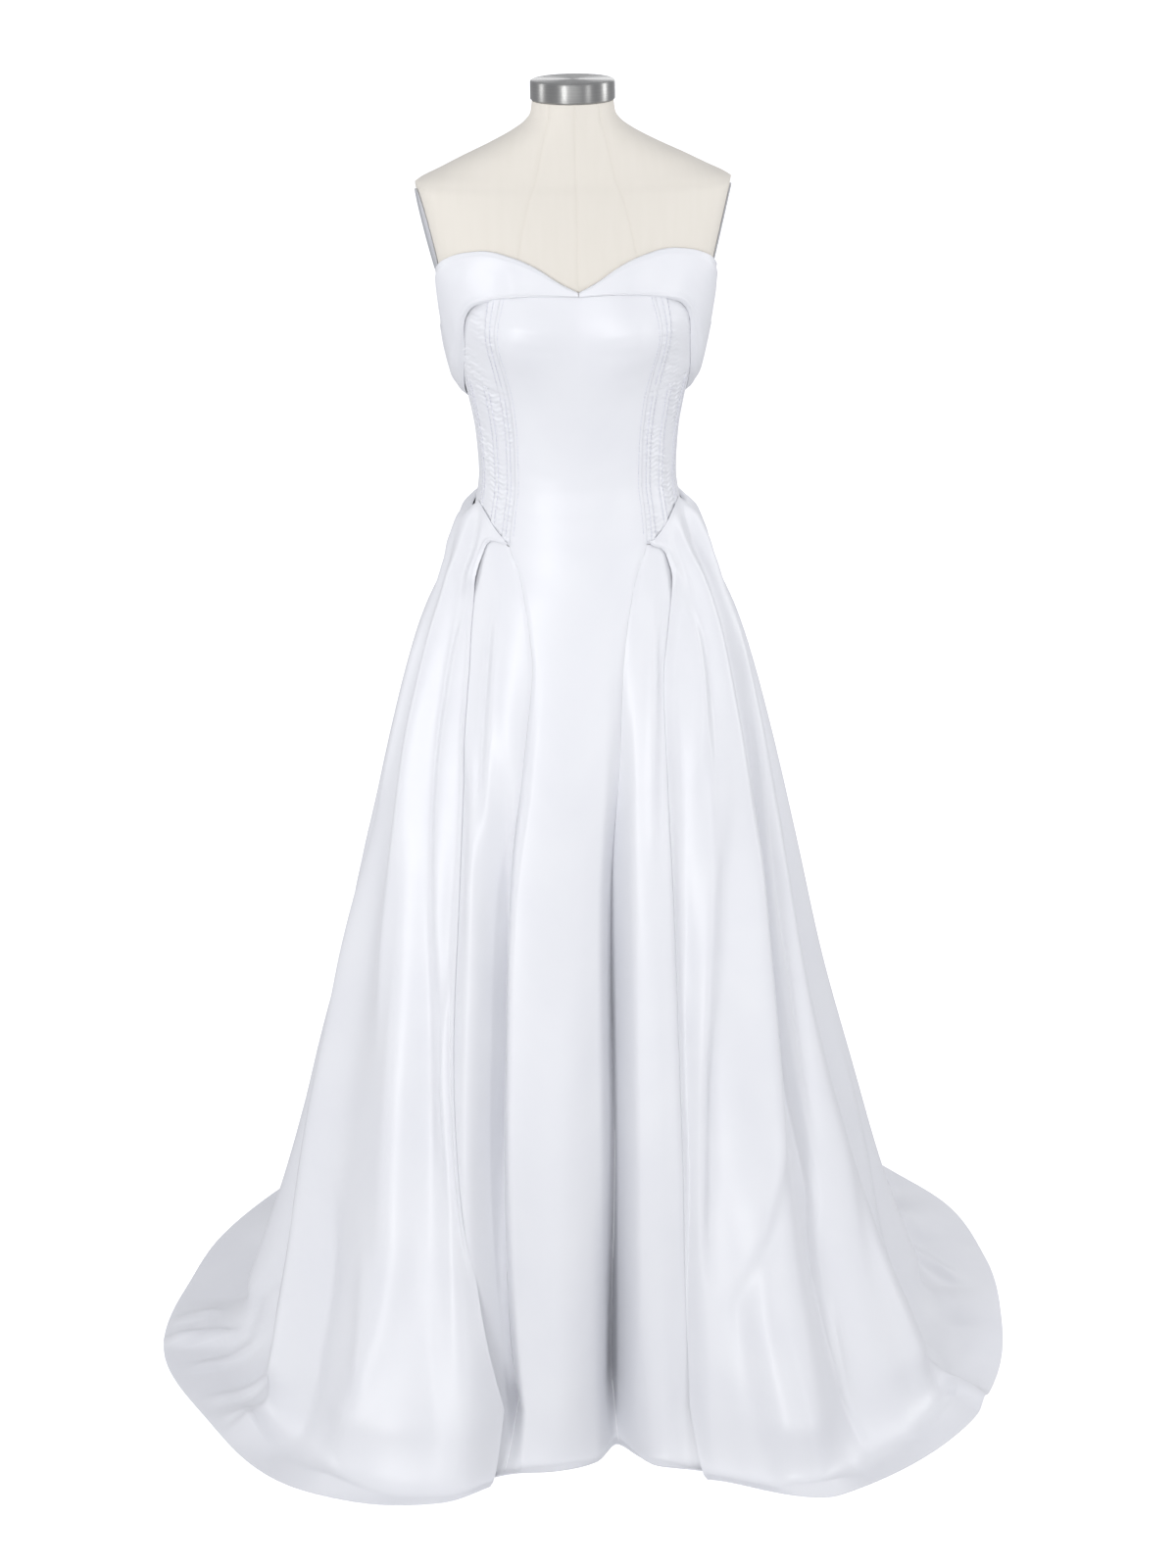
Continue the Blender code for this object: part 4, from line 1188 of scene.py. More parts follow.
def trimmed(angle: np.ndarray, radius: np.ndarray) -> np.ndarray:
    """Angles moved in at both side edges of a panel by half the seam gap."""
    inward = np.zeros(angle.shape[1])
    inward[0] = np.sign(angle[0, -1] - angle[0, 0])
    inward[-1] = -inward[0]
    return angle + np.degrees(SEAM_GAP / 2 / radius) * inward


def oriented(grid: np.ndarray, sign: int) -> np.ndarray:
    """A grid whose columns run to +angle, on either side of the gown."""
    return grid if sign > 0 else grid[:, ::-1]


def fallen(
    angles: np.ndarray,
    levels: np.ndarray,
    outs: np.ndarray,
    hem: Sequence[Hem],
    lift: np.ndarray | float,
    bend_rows: int,
    lying_rows: int,
) -> np.ndarray:
    """Grid points of a hanging panel, with its bend onto the floor and its lying part.

    Args:
        angles: Angle of each grid point at the falling rows.
        levels: Heights of the falling rows.
        outs: How far each point stands out from the plain skirt.
        hem: Table of the hem this panel ends on.
        lift: How far the whole layer lies outside the plain skirt.
        bend_rows: Rows of the bend.
        lying_rows: Rows of the lying part.

    Returns:
        The points.
    """
    fall = skirt_radius(angles, levels, hem) + outs + lift
    body = form_radius(angles, np.maximum(levels, FORM_BOTTOM)) + BODICE_OUT
    body = body + np.minimum(lift, CLOTH + OVER_GAP)
    fall = np.where(levels > FORM_BOTTOM - 0.03, np.maximum(fall, body), fall)
    points = [placed(angles, fall, levels)]
    angle, out, start_r, start_z = angles[-1], outs[-1], fall[-1], levels[-1]
    radius = table(hem, "radius", wrapped(angle))
    flat = table(hem, "flat", wrapped(angle))
    corner_r = np.minimum(radius - flat + 0.25 * out, radius - 0.006)
    land_r = np.minimum(corner_r + 0.055, radius - 0.004)
    land_r = np.minimum(land_r, corner_r + 0.5 * (radius - corner_r))
    ridge = np.maximum(out, 0.0)
    ground = CLOTH + 0.0002
    corner_z, land_z = ground + 0.3 * ridge, ground + 0.55 * ridge
    for t in even(0.0, 1.0, bend_rows + 1)[1:]:
        first, middle, last = (1 - t) ** 2, 2 * t * (1 - t), t**2
        r = first * start_r + middle * corner_r + last * land_r
        z = first * start_z + middle * corner_z + last * land_z
        points.append(placed(angle, r, z)[None])
    for t in even(0.0, 1.0, lying_rows + 1)[1:]:
        z = ground + ridge * 0.55 * (1 - t) ** 1.2
        points.append(placed(angle, land_r + (radius - land_r) * t, z)[None])
    return np.concatenate(points, axis=0)


def fall_outs(lines: Sequence[Any], levels: np.ndarray) -> list[np.ndarray]:
    """How far each line stands out at each falling row."""
    steps = ((line.out_hem, line.out_knee, line.out_hip, 0.0) for line in lines)
    return [through((0.0, KNEE, HIP, SKIRT_TOP), step, levels) for step in steps]


def panel_outs(across: Sequence[Across], levels: np.ndarray, parts: np.ndarray) -> np.ndarray:
    """How far an under panel stands out at parts of the way across it."""
    return through([line.part for line in across], fall_outs(across, levels), parts)


def under_points(
    parts: np.ndarray,
    left: str,
    right: str,
    across: Sequence[Across],
    rows: int,
    raised: bool = True,
) -> np.ndarray:
    """Points of the centre panel or a gore, from the hip seam to the hem.

    Args:
        parts: Parts of the way across.
        left: Column of LINES of its first edge.
        right: Column of LINES of its other edge.
        across: How it is folded across.
        rows: Rows of the falling part.
        raised: Whether its top follows the slanting hip seam.

    Returns:
        The points.
    """
    levels = UNDER_FOOT + (UNDER_TOP - UNDER_FOOT) * (1 - even(0, 1, rows))
    levels = levels[:, None] * np.ones(len(parts))
    low, high = table(LINES, left, levels), table(LINES, right, levels)
    angle = low + (high - low) * parts
    if raised:
        fade = through(RAISE_LEVELS, RAISE, levels)
        seam = table(OVER_TOP, "height", np.abs(wrapped(angle))) - 0.0047
        levels = levels + (seam - levels[0:1]) * fade * ease(0.0, 0.08, parts)
    outs = panel_outs(across, levels, parts * np.ones_like(levels))
    radius = skirt_radius(angle, levels, HEM_UNDER)
    angle = trimmed(angle, radius)
    edge = np.radians(np.minimum(np.abs(angle - low), np.abs(high - angle))) * radius
    outs = outs - seam_dip(edge, 0.0010, 0.0030) + folded(UNDER_FOLDS, angle, radius, levels)
    return fallen(angle, levels, outs, HEM_UNDER, np.zeros_like(levels), 9, 3)


@dataclass
class StitchRow:
    """A row of sewing stitches along a line on the cloth."""

    stitch: float = 0.0032
    gap: float = 0.0012
    thread: float = 0.00030
    sides: int = 6

    def sew(self, mesh: bmesh.types.BMesh, line: np.ndarray) -> int:
        """Adds the stitches along a line of points.

        Args:
            mesh: Where they go.
            line: Points of the line, in order.

        Returns:
            How many stitches it has.
        """
        steps = np.linalg.norm(np.diff(line, axis=0), axis=-1)
        run = np.concatenate([[0.0], np.cumsum(steps)])
        count = int(run[-1] / (self.stitch + self.gap))
        for i in range(count):
            start = i * (self.stitch + self.gap)
            first, last = (
                Vector([float(np.interp(at, run, line[:, k])) for k in range(3)])
                for at in (start, start + self.stitch)
            )
            way = (last - first).to_track_quat("Z", "X").to_matrix().to_4x4()
            bmesh.ops.create_cone(
                mesh,
                cap_ends=True,
                segments=self.sides,
                radius1=self.thread,
                radius2=self.thread,
                depth=(last - first).length,
                matrix=Matrix.Translation((first + last) / 2) @ way,
            )
        return count


@dataclass
class Bodice:
    """The boned bodice, and the front panel that runs on down to the hem."""

    satin: bpy.types.Material
    thread: bpy.types.Material
    rows_cup: int = 46
    rows_waist: int = 56
    rows_skirt: int = 96
    span_out: float = 0.0018
    groove_deep: float = 0.0007
    stitch_out: float = 0.0001
    stitch_in: float = 0.004
    stitches: StitchRow = field(default_factory=StitchRow)

    def top(self, angle: np.ndarray) -> np.ndarray:
        """Height of the bodice's top edge, just under the fold of the cuff."""
        around = np.abs(wrapped(angle))
        return table(CUFF, "top", around) - 0.0100 + 0.0066 * (1 - ease(0, 9, around))

    def bottom(self, angle: np.ndarray) -> np.ndarray:
        """Height of the seam where the bodice ends and the skirt begins at the sides."""
        return table(OVER_TOP, "height", np.abs(wrapped(angle))) - 0.0040

    def cup_seam(self, angle: np.ndarray) -> np.ndarray:
        """Height of the seam that divides the side front at the underbust."""
        slope = ease(SIDE_START, SIDE_SEAM, np.abs(wrapped(angle)))
        return CUP_SEAM_FRONT + (CUP_SEAM_SIDE - CUP_SEAM_FRONT) * slope

    def front(self) -> np.ndarray:
        """Points of the front panel above the hip."""
        parts = crowded(61)
        cup = even(0.0, 1.0, self.rows_cup)[:, None]
        waist = even(0.0, 1.0, self.rows_waist)[1:, None]
        rows = self.rows_cup + self.rows_waist - 1
        height = even(1.37, UNDER_TOP, rows)[:, None] * np.ones(len(parts))
        for _ in range(SETTLE):
            low, high = (table(LINES, name, height) for name in ("seam_left", "seam_right"))
            angle = low + (high - low) * parts
            above = self.top(angle[: self.rows_cup]) * (1 - cup) + CUP_SEAM_FRONT * cup
            below = CUP_SEAM_FRONT * (1 - waist) + UNDER_TOP * waist
            height = np.concatenate([above, below * np.ones(len(parts))])
        body = form_radius(angle, height)
        angle = trimmed(angle, body)
        edge = np.radians(np.minimum(angle - low, high - angle)) * body
        out = BODICE_OUT - seam_dip(edge)
        out = out + creased(BODICE_CREASES, angle, body, height) * ease(0.0, 0.012, edge)
        # The panel is cut long and spans the hollow of the waist a little
        out = out + self.span_out * bell(height - 1.116, 0.024) * ease(0.0, 0.03, edge)
        return bodice_point(angle, height, out)

    def spread(
        self, sign: int, cup: bool, parts: np.ndarray, down: np.ndarray, gap: float = 0.0
    ) -> tuple[np.ndarray, ...]:
        """Where places on a side piece lie.

        Args:
            sign: -1 for the left piece, 1 for the right one.
            cup: Whether it is the one above the underbust seam.
            parts: Parts of the way from the front seam to the side seam.
            down: Parts of the way down.
            gap: How far the piece ends from the underbust seam.

        Returns:
            Angles, heights, heights of its upper and lower edge, and angles of its seam.
        """
        angle = sign * (SIDE_START + (SIDE_SEAM - SIDE_START) * parts) * np.ones_like(down)
        for _ in range(SETTLE):
            if cup:
                high, low = self.top(angle), self.cup_seam(angle) + gap
            else:
                high, low = self.cup_seam(angle) - gap, self.bottom(angle)
            height = high * (1 - down) + low * down
            seam = table(LINES, f"seam_{side_of(sign)}", height)
            angle = seam + (sign * SIDE_SEAM - seam) * parts
        return angle, height, high, low, seam

    def side(self, sign: int, cup: bool) -> tuple[np.ndarray, np.ndarray]:
        """Points of a side piece above or below the underbust seam.

        Args:
            sign: -1 for the left piece, 1 for the right one.
            cup: Whether it is the upper one.

        Returns:
            The points and how much painted shade each one takes at seams and stitch grooves.
        """
        parts = crowded(111, 0.25)
        down = even(0.0, 1.0, 84 if cup else 124)[:, None]
        angle, height, high, low, seam = self.spread(sign, cup, parts, down, SEAM_GAP / 2)
        raised, groove, between = np.zeros(111), np.zeros(111), np.ones(111)
        for start, end in RIBS_CUP if cup else RIBS_SIDE:
            up = ease(start - RIB_SLOPE, start, parts) * (1 - ease(end, end + RIB_SLOPE, parts))
            raised = np.maximum(raised, RIB_HEIGHT * up)
            between = np.minimum(between, 1 - up)
            for line in (start, end):
                groove = np.maximum(groove, bell(parts - line, 0.006))
        body = form_radius(angle, height)
        angle = trimmed(angle, body)
        width = np.radians(np.abs(sign * SIDE_SEAM - seam)) * body
        edge = np.minimum(parts, 1 - parts) * width
        level = np.minimum(high - height, height - low)
        drawn = puckers(angle, height, 0.00052 if cup else 0.00062) * (0.75 + 0.25 * between)
        drawn = drawn * ease(0.0, 0.004, edge) * ease(0.0, 0.004, level)
        out = BODICE_OUT + raised - seam_dip(edge) - seam_dip(level, 0.0002)
        out = out - self.groove_deep * groove + drawn
        # Painted shade: darkest at the seam edges and stitch grooves, fainter at the underbust
        # seam
        shade = bell(edge, 0.0016) + 0.2 * bell(level, 0.0016) + 0.9 * groove
        shade = np.clip(shade, 0, 1)
        return oriented(bodice_point(angle, height, out), sign), oriented(shade, sign)

    def back(self, sign: int) -> np.ndarray:
        """Points of half of the back."""
        parts, down = crowded(73), crowded(60, 0.3)[:, None]
        angle = sign * (SIDE_SEAM + (180.0 - SIDE_SEAM) * parts) * np.ones_like(down)
        height = self.top(angle) * (1 - down) + self.bottom(angle) * down
        body = form_radius(angle, height)
        angle = trimmed(angle, body)
        around = np.abs(angle)
        edge = np.radians(np.minimum(around - SIDE_SEAM, 180.0 - around)) * body
        # A boning channel halfway round, and the cloth drawn a little either side of it
        off = np.abs(np.radians(around - 128.0) * body)
        out = BODICE_OUT - seam_dip(edge) + 0.0010 * (1 - ease(0.004, 0.006, off))
        drawn = puckers(angle, height, 0.00022) * bell(off - 0.011, 0.006)
        out = out + drawn * ease(0.0, 0.006, edge)
        out = out + creased(BODICE_CREASES, angle, body, height) * ease(0.0, 0.012, edge)
        return oriented(bodice_point(angle, height, out), sign)

    def placket(self) -> np.ndarray:
        """Points of the strip that laps over the centre-back opening."""
        parts = crowded(15)
        angle = (176.6 + 6.8 * parts) * np.ones((40, 1))
        height = even(1.1860, 1.1120, 40)[:, None] * np.ones(15)
        edge = np.minimum(parts, 1 - parts) * 0.012
        out = BODICE_OUT + 0.0021 - seam_dip(edge, 0.0005, 0.0010)
        return bodice_point(angle, height, out)

    def seams(self) -> bpy.types.Object:
        """The rows of stitches that hold the boning channels and the front seams."""
        mesh = bmesh.new()
        total = 0
        for sign in (-1, 1):
            ribs = [(rib, True) for rib in RIBS_CUP] + [(rib, False) for rib in RIBS_SIDE]
            for (start, end), cup in ribs:
                for spot in (start + self.stitch_in, end - self.stitch_in):
                    down = even(0.03, 0.97, 60)
                    angle, height, *_ = self.spread(sign, cup, spot, down)
                    out = BODICE_OUT + RIB_HEIGHT + self.stitch_out
                    total += self.stitches.sew(mesh, bodice_point(angle, height, out))
            height = even(1.350, 1.062, 90)
            seam = table(LINES, f"seam_{side_of(sign)}", height)
            angle = seam - sign * np.degrees(0.0042 / form_radius(seam, height))
            line = bodice_point(angle, height, BODICE_OUT + self.stitch_out)
            total += self.stitches.sew(mesh, line)
        log.info("bodice_stitches: %d stitches", total)
        return objected("bodice_stitches", mesh, self.thread)

    def build(self) -> None:
        """Makes every piece of the bodice and dresses it."""
        under = under_points(
            crowded(61), "seam_left", "seam_right", CENTRE_ACROSS, self.rows_skirt, False
        )
        centre = np.concatenate([self.front()[:-1], under], axis=0)
        seams = self.seams()
        dressed("centre_front", centre, self.satin)
        for sign in (-1, 1):
            sewn_on = [seams] if sign < 0 else []
            cup, side = self.side(sign, True), self.side(sign, False)
            dressed(f"side_cup_{side_of(sign)}", cup[0], self.satin, cup[1], extras=sewn_on)
            dressed(f"side_front_{side_of(sign)}", side[0], self.satin, side[1])
            dressed(f"back_{side_of(sign)}", self.back(sign), self.satin)
        dressed("back_placket", self.placket(), self.satin, thick=0.0011)


@dataclass
class Skirt:
    """The front gores and the split overskirt with its train."""

    satin: bpy.types.Material
    per_fold: int = 16
    rows_top: int = 26
    rows_fall: int = 92
    bend_rows: int = 12
    lying_rows: int = 16
    edge_gap: float = 0.0005
    hip_close: float = 0.0024
    edge_sink: float = 0.0150
    rim: float = 0.0016

    def gore_radius(self, sign: int, angle: np.ndarray, levels: np.ndarray) -> np.ndarray:
        """Distance from the axis of the gore that lies under the overskirt's front edge.

        Args:
            sign: -1 for the left gore, 1 for the right one.
            angle: Directions.
            levels: Heights.

        Returns:
            The distances.
        """
        low = table(LINES, f"seam_{side_of(sign)}", levels)
        high = table(LINES, f"tuck_{side_of(sign)}", levels)
        parts = np.clip((angle - low) / (high - low), 0.0, 1.0)
        radius = skirt_radius(angle, levels, HEM_UNDER)
        outs = panel_outs(GORES_ACROSS[sign], levels, parts)
        return radius + outs + folded(UNDER_FOLDS, angle, radius, levels)

    def over(self, sign: int) -> np.ndarray:
        """Points of half of the overskirt, from the hip seam to the edge of the train.

        Args:
            sign: -1 for the left half, 1 for the right one.

        Returns:
            The points.
        """
        folds = FOLDS_LEFT if sign < 0 else FOLDS_RIGHT
        count = len(folds)
        places = np.concatenate([[0.0, 0.02, 0.05], even(0.1, count, count * self.per_fold)])
        top_levels = even(CORNER, HIP, self.rows_top)
        low_levels = even(HIP, OVER_FOOT, self.rows_fall)[1:]
        levels = np.concatenate([top_levels, low_levels])[:, None] * np.ones(len(places))
        lines = [np.abs(table(LINES, f"edge_{side_of(sign)}", levels))]
        for fold in folds:
            path = (fold.hem, fold.knee, fold.hip)
            lines.append(np.abs(through((0.0, KNEE, HIP), path, levels)))
        spots = np.broadcast_to(places, levels.shape)
        around = through(range(count + 1), lines, spots)
        outs = through(range(count + 1), fall_outs((FREE_EDGE,) + folds, levels), spots)
        fade = through(FADE_LEVELS, FADE, levels)
        rise = through(ROLL_LEVELS, ROLL_UP, levels)
        reach = through((ROLL_END,) + ROLL_LEVELS, (0.0,) + ROLL_OUT, levels)
        roll = table(OVER_TOP, "roll", around) * ease(64, 84, around)
        top = table(OVER_TOP, "height", around)
        levels = levels + (top - CORNER) * fade + roll * rise
        close = CLOTH + OVER_GAP
        hip = ease(0.93, SKIRT_TOP, levels)
        lift = close + (OVER_LIFT - close) * (1 - hip) - self.hip_close * hip + roll * reach
        angle = sign * around
        radius = skirt_radius(angle, levels, HEM_OVER)
        extra = creased(SKIRT_CREASES, angle, radius, levels)
        extra = extra + folded(OVER_FOLDS, angle, radius, levels)
        away = np.radians(around - lines[0]) * radius
        outs = outs + extra * ease(0.0, 0.02, away)
        # The free front edge is turned under, so it carries a thin raised rim
        outs = outs + self.rim * bell(away - 0.0030, 0.0022) * ease(0.62, 0.90, levels)
        # The free front edge sinks towards the gore under it
        spare = radius + outs + lift - self.gore_radius(sign, angle, levels)
        sink = np.clip(spare - OVER_SHELL - self.edge_gap, 0.0, self.edge_sink)
        sink = sink * (1 - ease(0.0, 0.055, away)) * (1 - ease(0.985, 1.025, levels))
        rows = (self.bend_rows, self.lying_rows)
        grid = fallen(angle, levels, outs - sink, HEM_OVER, lift, *rows)
        grid[..., 2] += rucked(grid) * (1 - ease(0.004, 0.05, grid[..., 2]))
        return oriented(grid, sign)

    def build(self) -> None:
        """Makes the gores and the overskirt and dresses them."""
        for sign in (-1, 1):
            side = side_of(sign)
            edges = (f"seam_{side}", f"tuck_{side}")
            gore = under_points(crowded(57), *edges, GORES_ACROSS[sign], 104)
            dressed(f"front_gore_{side}", oriented(gore, sign), self.satin)
            dressed(f"overskirt_{side}", self.over(sign), self.satin, thick=OVER_SHELL)


@dataclass
class Cuff:
    """The collar-like cuff folded down over the top of the bodice."""

    satin: bpy.types.Material
    rows_down: int = 44
    rows_inside: int = 5
    rows_turn: int = 8
    turn: float = 0.0014
    edge_close: float = 0.05
    rim: float = 0.0011
    thick: float = 0.0013

    def half(self, sign: int) -> np.ndarray:
        """Points of half of the cuff: up inside, over the fold and down to its edge.

        Args:
            sign: -1 for the left half, 1 for the right one.

        Returns:
            The points.
        """
        around = np.concatenate([even(0.25, 100, 90), even(100, 179.8, 50)[1:]])
        top, bottom, stand, edge = (table(CUFF, name, around) for name in CuffLine._fields[1:])
        edge = self.edge_close * edge
        drop = top - bottom
        fold = np.minimum(CUFF_FOLD_DEEP, 0.45 * drop)
        level = np.ones_like(top)
        heights, offs = [], []
        for t in even(0.0, 1.0, self.rows_inside):
            heights.append(top - fold * (1 - t) - self.turn * t)
            offs.append((BODY_CLEARANCE + 0.0002 + 0.0003 * t) * level)
        middle = 0.5 * (BODY_CLEARANCE + CUFF_OUT)
        half_wide = 0.5 * (CUFF_OUT - BODY_CLEARANCE) - 0.0003
        for turn in np.radians(even(20, 160, self.rows_turn)):
            heights.append(top - self.turn + self.turn * math.sin(turn))
            offs.append((middle - half_wide * math.cos(turn)) * level)
        humps = [hump * stand for hump in CUFF_HUMP] + [edge]
        for t in even(0.0, 1.0, self.rows_down)[1:]:
            heights.append(top - self.turn - (drop - self.turn) * t)
            rise = through(CUFF_DOWN, humps, t * level)
            rolled = 0.0012 * ease(0.0, 0.06, t) - 0.0018 * ease(0.95, 1.0, t)
            rolled = rolled + self.rim * bell(t - 0.945, 0.030)
            offs.append(CUFF_OUT + rise * ease(0.0, 0.08, t) + rolled - 0.0012)
        height, off = np.stack(heights), np.stack(offs)
        angle = sign * around * np.ones_like(height)
        # Slow waves round the cuff, and soft upright folds below its folded edge
        swing = 0.0010 * np.sin(np.radians(around * 3.1 + 20))
        swing = swing + 0.0005 * np.sin(np.radians(around * 7.3 + 60))
        part = np.clip((top - height) / drop, 0, 1)
        moved = swing * stand * ease(0.1, 0.6, part)
        for place, wide, out in CUFF_FOLDS_LEFT if sign < 0 else CUFF_FOLDS_RIGHT:
            fold_line = bell(around - place - 6.0 * (1 - part), wide)
            moved = moved + out * fold_line * ease(0.08, 0.45, part)
        moved[: self.rows_inside + self.rows_turn + 1] = 0.0
        return oriented(bodice_point(angle, height, off + moved), sign)

    def build(self) -> None:
        """Makes both halves and dresses them."""
        for sign in (-1, 1):
            dressed(f"cuff_{side_of(sign)}", self.half(sign), self.satin, thick=self.thick)


@dataclass
class DressForm:
    """The linen-covered form with its steel cap and arm plates, on its stand."""

    linen: bpy.types.Material
    steel: bpy.types.Material
    plate: bpy.types.Material
    stand: bpy.types.Material
    seam_angles: tuple[float, ...] = (0.0, 38.0, 90.0, 142.0, 180.0, -142.0, -90.0, -38.0)
    seam_half: float = 0.0014
    seam_deep: float = 0.0005
    seam_shade: float = 0.32

    def cover(self) -> bpy.types.Object:
        """The linen cover: panels drawn in a little at their long seams."""
        fine = [a + step for a in self.seam_angles for step in (-1.1, -0.55, 0.0, 0.55, 1.1)]
        angles = np.concatenate([even(-180, 180, 121), wrapped(np.array(fine))])
        angles = np.unique(np.round(angles, 3))
        angles = angles[(angles > -179.99) & (angles < 180.0)]
        angles = np.concatenate([[-180.0], angles, [180.0]])
        heights = np.concatenate([even(FORM_TOP, 1.44, 50), even(1.44, FORM_BOTTOM, 90)[1:]])
        angle = angles * np.ones((len(heights), 1))
        height = heights[:, None] * np.ones(len(angles))
        radius = form_radius(angle, height)
        seam = np.zeros_like(radius)
        for line in self.seam_angles:
            off = np.radians(wrapped(angle - line)) * radius
            seam = np.maximum(seam, bell(off, self.seam_half))
        grid = placed(angle, radius - self.seam_deep * seam - 0.0001, height)
        made = surfaced("form_torso_cover", grid, self.linen, seam * self.seam_shade)
        mesh = bmesh.new()
        mesh.from_mesh(made.data)
        bmesh.ops.remove_doubles(mesh, verts=mesh.verts, dist=1e-6)
        for above in (True, False):
            rim = [e for e in mesh.edges if e.is_boundary and (e.verts[0].co.z > 1.2) == above]
            around = {vert for edge in rim for vert in edge.verts}
            centre = sum((vert.co for vert in around), Vector()) / len(around)
            inset = bmesh.ops.extrude_edge_only(mesh, edges=rim)["geom"]
            for vert in (g for g in inset if isinstance(g, bmesh.types.BMVert)):
                vert.co = centre + (vert.co - centre) * 0.9
                vert.co.z = centre.z - (0.0 if above else 0.004)
            loop = [g for g in inset if isinstance(g, bmesh.types.BMEdge) and g.is_boundary]
            bmesh.ops.holes_fill(mesh, edges=loop, sides=0)
        mesh.to_mesh(made.data)
        mesh.free()
        return made

    def spun(
        self, name: str, profile: Sequence[tuple[float, float]], finish: bpy.types.Material
    ) -> bpy.types.Object:
        """A turned piece, spun round the axis.

        Args:
            name: The object's name.
            profile: Rows of radius and height, from the axis back to it.
            finish: Its material.

        Returns:
            The object, with its edges rounded.
        """
        mesh = bmesh.new()
        verts = [mesh.verts.new((r, 0.0, z)) for r, z in profile]
        edges = [mesh.edges.new(pair) for pair in zip(verts, verts[1:])]
        spin = {"cent": (0, 0, 0), "axis": (0, 0, 1), "angle": 2 * math.pi, "steps": 96}
        bmesh.ops.spin(mesh, geom=verts + edges, use_merge=True, **spin)
        bmesh.ops.remove_doubles(mesh, verts=mesh.verts, dist=1e-6)
        bmesh.ops.recalc_face_normals(mesh, faces=mesh.faces)
        made = objected(name, mesh, finish)
        rounded = made.modifiers.new("edges", "BEVEL")
        rounded.width = 0.0004
        rounded.segments = 2
        rounded.limit_method = "ANGLE"
        rounded.angle_limit = math.radians(35)
        return made

    def arm_plate(self, sign: int) -> bpy.types.Object:
        """The oval plate that closes the form at an arm.

        Args:
            sign: -1 for the left plate, 1 for the right one.

        Returns:
            The object.
        """
        mesh = bmesh.new()
        bmesh.ops.create_circle(mesh, cap_ends=True, segments=72, radius=1.0)
        faces = list(mesh.faces)
        bmesh.ops.inset_region(mesh, faces=faces, thickness=0.035, use_even_offset=True)
        thick = bmesh.ops.extrude_face_region(mesh, geom=list(mesh.faces))["geom"]
        top = [g for g in thick if isinstance(g, bmesh.types.BMVert)]
        bmesh.ops.translate(mesh, vec=(0, 0, 1.0), verts=top)
        for vert in mesh.verts:
            out = vert.co.z
            on_rim = out > 0.5 and math.hypot(vert.co.x, vert.co.y) > 0.99
            y = 0.006 + PLATE_HALF_DEPTH * vert.co.x
            z = PLATE_CENTRE + PLATE_HALF_HEIGHT * vert.co.y
            depth = PLATE_THICK * (1 - out) + (0.0008 if on_rim else 0.0)
            vert.co = Vector((sign * (plate_plane(z) - depth + y * PLATE_TURN), y, z))
        bmesh.ops.recalc_face_normals(mesh, faces=mesh.faces)
        return objected(f"arm_plate_{side_of(sign)}_coated", mesh, self.plate)

    def build(self) -> None:
        """Makes the form and its stand and dresses them."""
        cover = self.cover()
        low = FORM_TOP + FIT_GAP
        cap = [(0.0, low), (0.0468, low), (CAP_RADIUS, low + 0.0015)]
        cap += [(CAP_RADIUS, CAP_TOP - 0.0024), (CAP_RADIUS - 0.0008, CAP_TOP - 0.0008)]
        cap += [(CAP_RADIUS - 0.0026, CAP_TOP), (0.0, CAP_TOP)]
        foot, top = BASE_HEIGHT + FIT_GAP, FORM_BOTTOM - 0.008 - FIT_GAP
        pole = [(0.0, foot), (POLE_RADIUS, foot), (POLE_RADIUS, top), (0.0, top)]
        base = [(0.0, 0.0), (BASE_RADIUS, 0.0), (BASE_RADIUS, 0.006)]
        base += [(BASE_RADIUS - 0.006, 0.010), (0.030, BASE_HEIGHT), (0.0, BASE_HEIGHT)]
        pieces = (
            (cover, "form_torso", "linen_cover"),
            (self.spun("neck_cap_steel", cap, self.steel), "neck_cap", "brushed_cap"),
            (self.arm_plate(-1), "arm_plate_left", "plate_paint"),
            (self.arm_plate(1), "arm_plate_right", "plate_paint"),
            (self.spun("stand_pole_coated", pole, self.stand), "stand_pole", "stand_paint"),
            (self.spun("stand_base_coated", base, self.stand), "stand_base", "stand_paint"),
        )
        for piece, node, slot in pieces:
            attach(piece, "root")
            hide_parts(node)
            log.info("%s stands for %s", piece.name, node)


class Lamp(NamedTuple):
    """A soft box: its place, the height it faces on the axis, size, watts and beam."""

    name: str
    place: tuple[float, float, float]
    faces: float
    size: tuple[float, float]
    power: float
    beam: float


LAMPS = rows_of(
    Lamp,
    ("key", (-1.7, -3.7, 1.9), 1.1, (0.6, 1.8), 15.5, 100),
    ("front", (-0.3, -4.7, 2.2), 1.25, (4.4, 2.6), 11.6, 80),
    ("fill", (2.6, -3.0, 1.9), 1.0, (0.4, 1.8), 6.5, 110),
    ("edge_left", (-3.3, 0.3, 1.8), 0.9, (0.5, 2.0), 20, 180),
    ("edge_right", (3.3, 0.3, 1.8), 0.9, (0.5, 2.0), 28, 180),
    ("back", (0.9, 4.6, 2.3), 1.0, (3.0, 2.0), 24, 180),
)


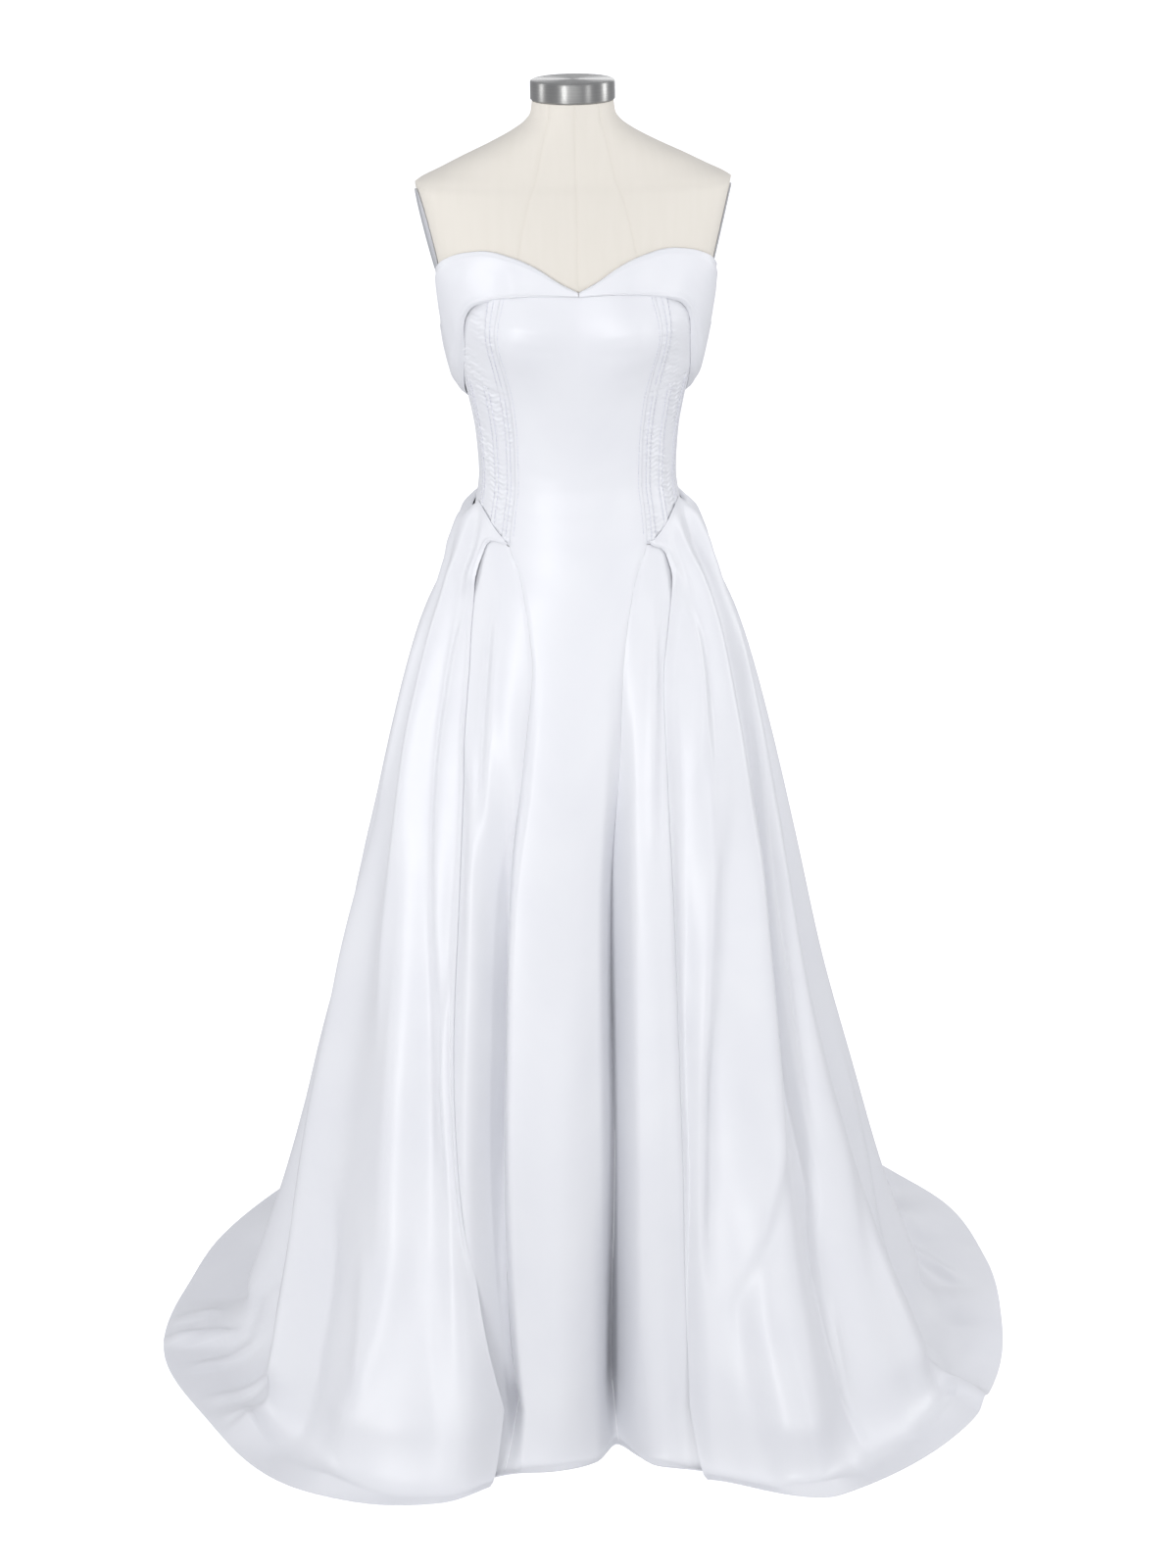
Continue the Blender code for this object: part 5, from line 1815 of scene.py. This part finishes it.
@dataclass
class Studio:
    """White floor, soft lamps and the camera of the photo."""

    paper: bpy.types.Material
    distance: float = 4.077
    height: float = 2.117
    azimuth: float = -2.0
    pitch: float = 18.81
    roll: float = -0.71
    aim: float = -0.11
    lens: float = 81.0
    room: float = 0.58

    def light(self, lamp: Lamp) -> None:
        """Sets up a soft box.

        Args:
            lamp: Its place, size and power.
        """
        data = bpy.data.lights.new(lamp.name, "AREA")
        data.shape = "RECTANGLE"
        data.size, data.size_y = lamp.size
        data.energy = lamp.power
        data.spread = math.radians(lamp.beam)
        made = bpy.data.objects.new(lamp.name, data)
        made.location = lamp.place
        way = Vector((0, 0, lamp.faces)) - Vector(lamp.place)
        made.rotation_euler = way.to_track_quat("-Z", "Y").to_euler()
        bpy.context.scene.collection.objects.link(made)

    def surround(self) -> None:
        """The white room: dimmer to the cloth than to the camera."""
        world = bpy.data.worlds.new("white_room")
        world.use_nodes = True
        world.node_tree.nodes.clear()
        add = partial(add_node, world.node_tree)
        room = add("Background", {"Color": linear("#F5F6FB"), "Strength": self.room})
        seen = add("Background", {"Color": linear("#FFFFFF"), "Strength": 1.0})
        mixed = add("MixShader", links={0: add("LightPath"), 1: room, 2: seen})
        add("OutputWorld", links={"Surface": mixed})
        bpy.context.scene.world = world
        bpy.context.scene.view_settings.view_transform = "Standard"

    def camera(self) -> None:
        """The camera at the photo's height, angle and distance."""
        data = bpy.data.cameras.new("photo_camera")
        data.lens = self.lens
        data.sensor_width = 36.0
        made = bpy.data.objects.new("photo_camera", data)
        turn = math.radians(self.azimuth)
        x, y = self.distance * math.sin(turn), -self.distance * math.cos(turn)
        made.location = (x, y, self.height)
        facing = Matrix.Rotation(math.radians(self.azimuth + self.aim), 4, "Z")
        facing = facing @ Matrix.Rotation(math.radians(90 - self.pitch), 4, "X")
        facing = facing @ Matrix.Rotation(math.radians(self.roll), 4, "Z")
        made.rotation_euler = facing.to_euler()
        bpy.context.scene.collection.objects.link(made)
        bpy.context.scene.camera = made

    def build(self) -> None:
        """Makes the floor, the lamps, the room and the camera."""
        mesh = bmesh.new()
        bmesh.ops.create_grid(mesh, x_segments=8, y_segments=8, size=30.0)
        floor = objected("paper_floor", mesh, self.paper)
        floor.visible_diffuse = False
        floor.visible_glossy = False
        for lamp in LAMPS:
            self.light(lamp)
        self.surround()
        self.camera()


def main() -> None:
    """Builds the form, the gown and the studio."""
    logging.basicConfig(level=logging.INFO, format="%(message)s")
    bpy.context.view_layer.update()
    satin = Satin().make()
    DressForm(
        Linen().make(),
        BrushedSteel().make(),
        PowderCoat("plate_powder_coat", "#C9CBCF", "#BFC1C6").make(),
        PowderCoat("stand_powder_coat", "#D9D9DB", "#CDCDD0").make(),
    ).build()
    Bodice(satin, Thread().make()).build()
    Cuff(satin).build()
    Skirt(satin).build()
    Studio(StudioPaper().make()).build()


if __name__ == "__main__":
    main()
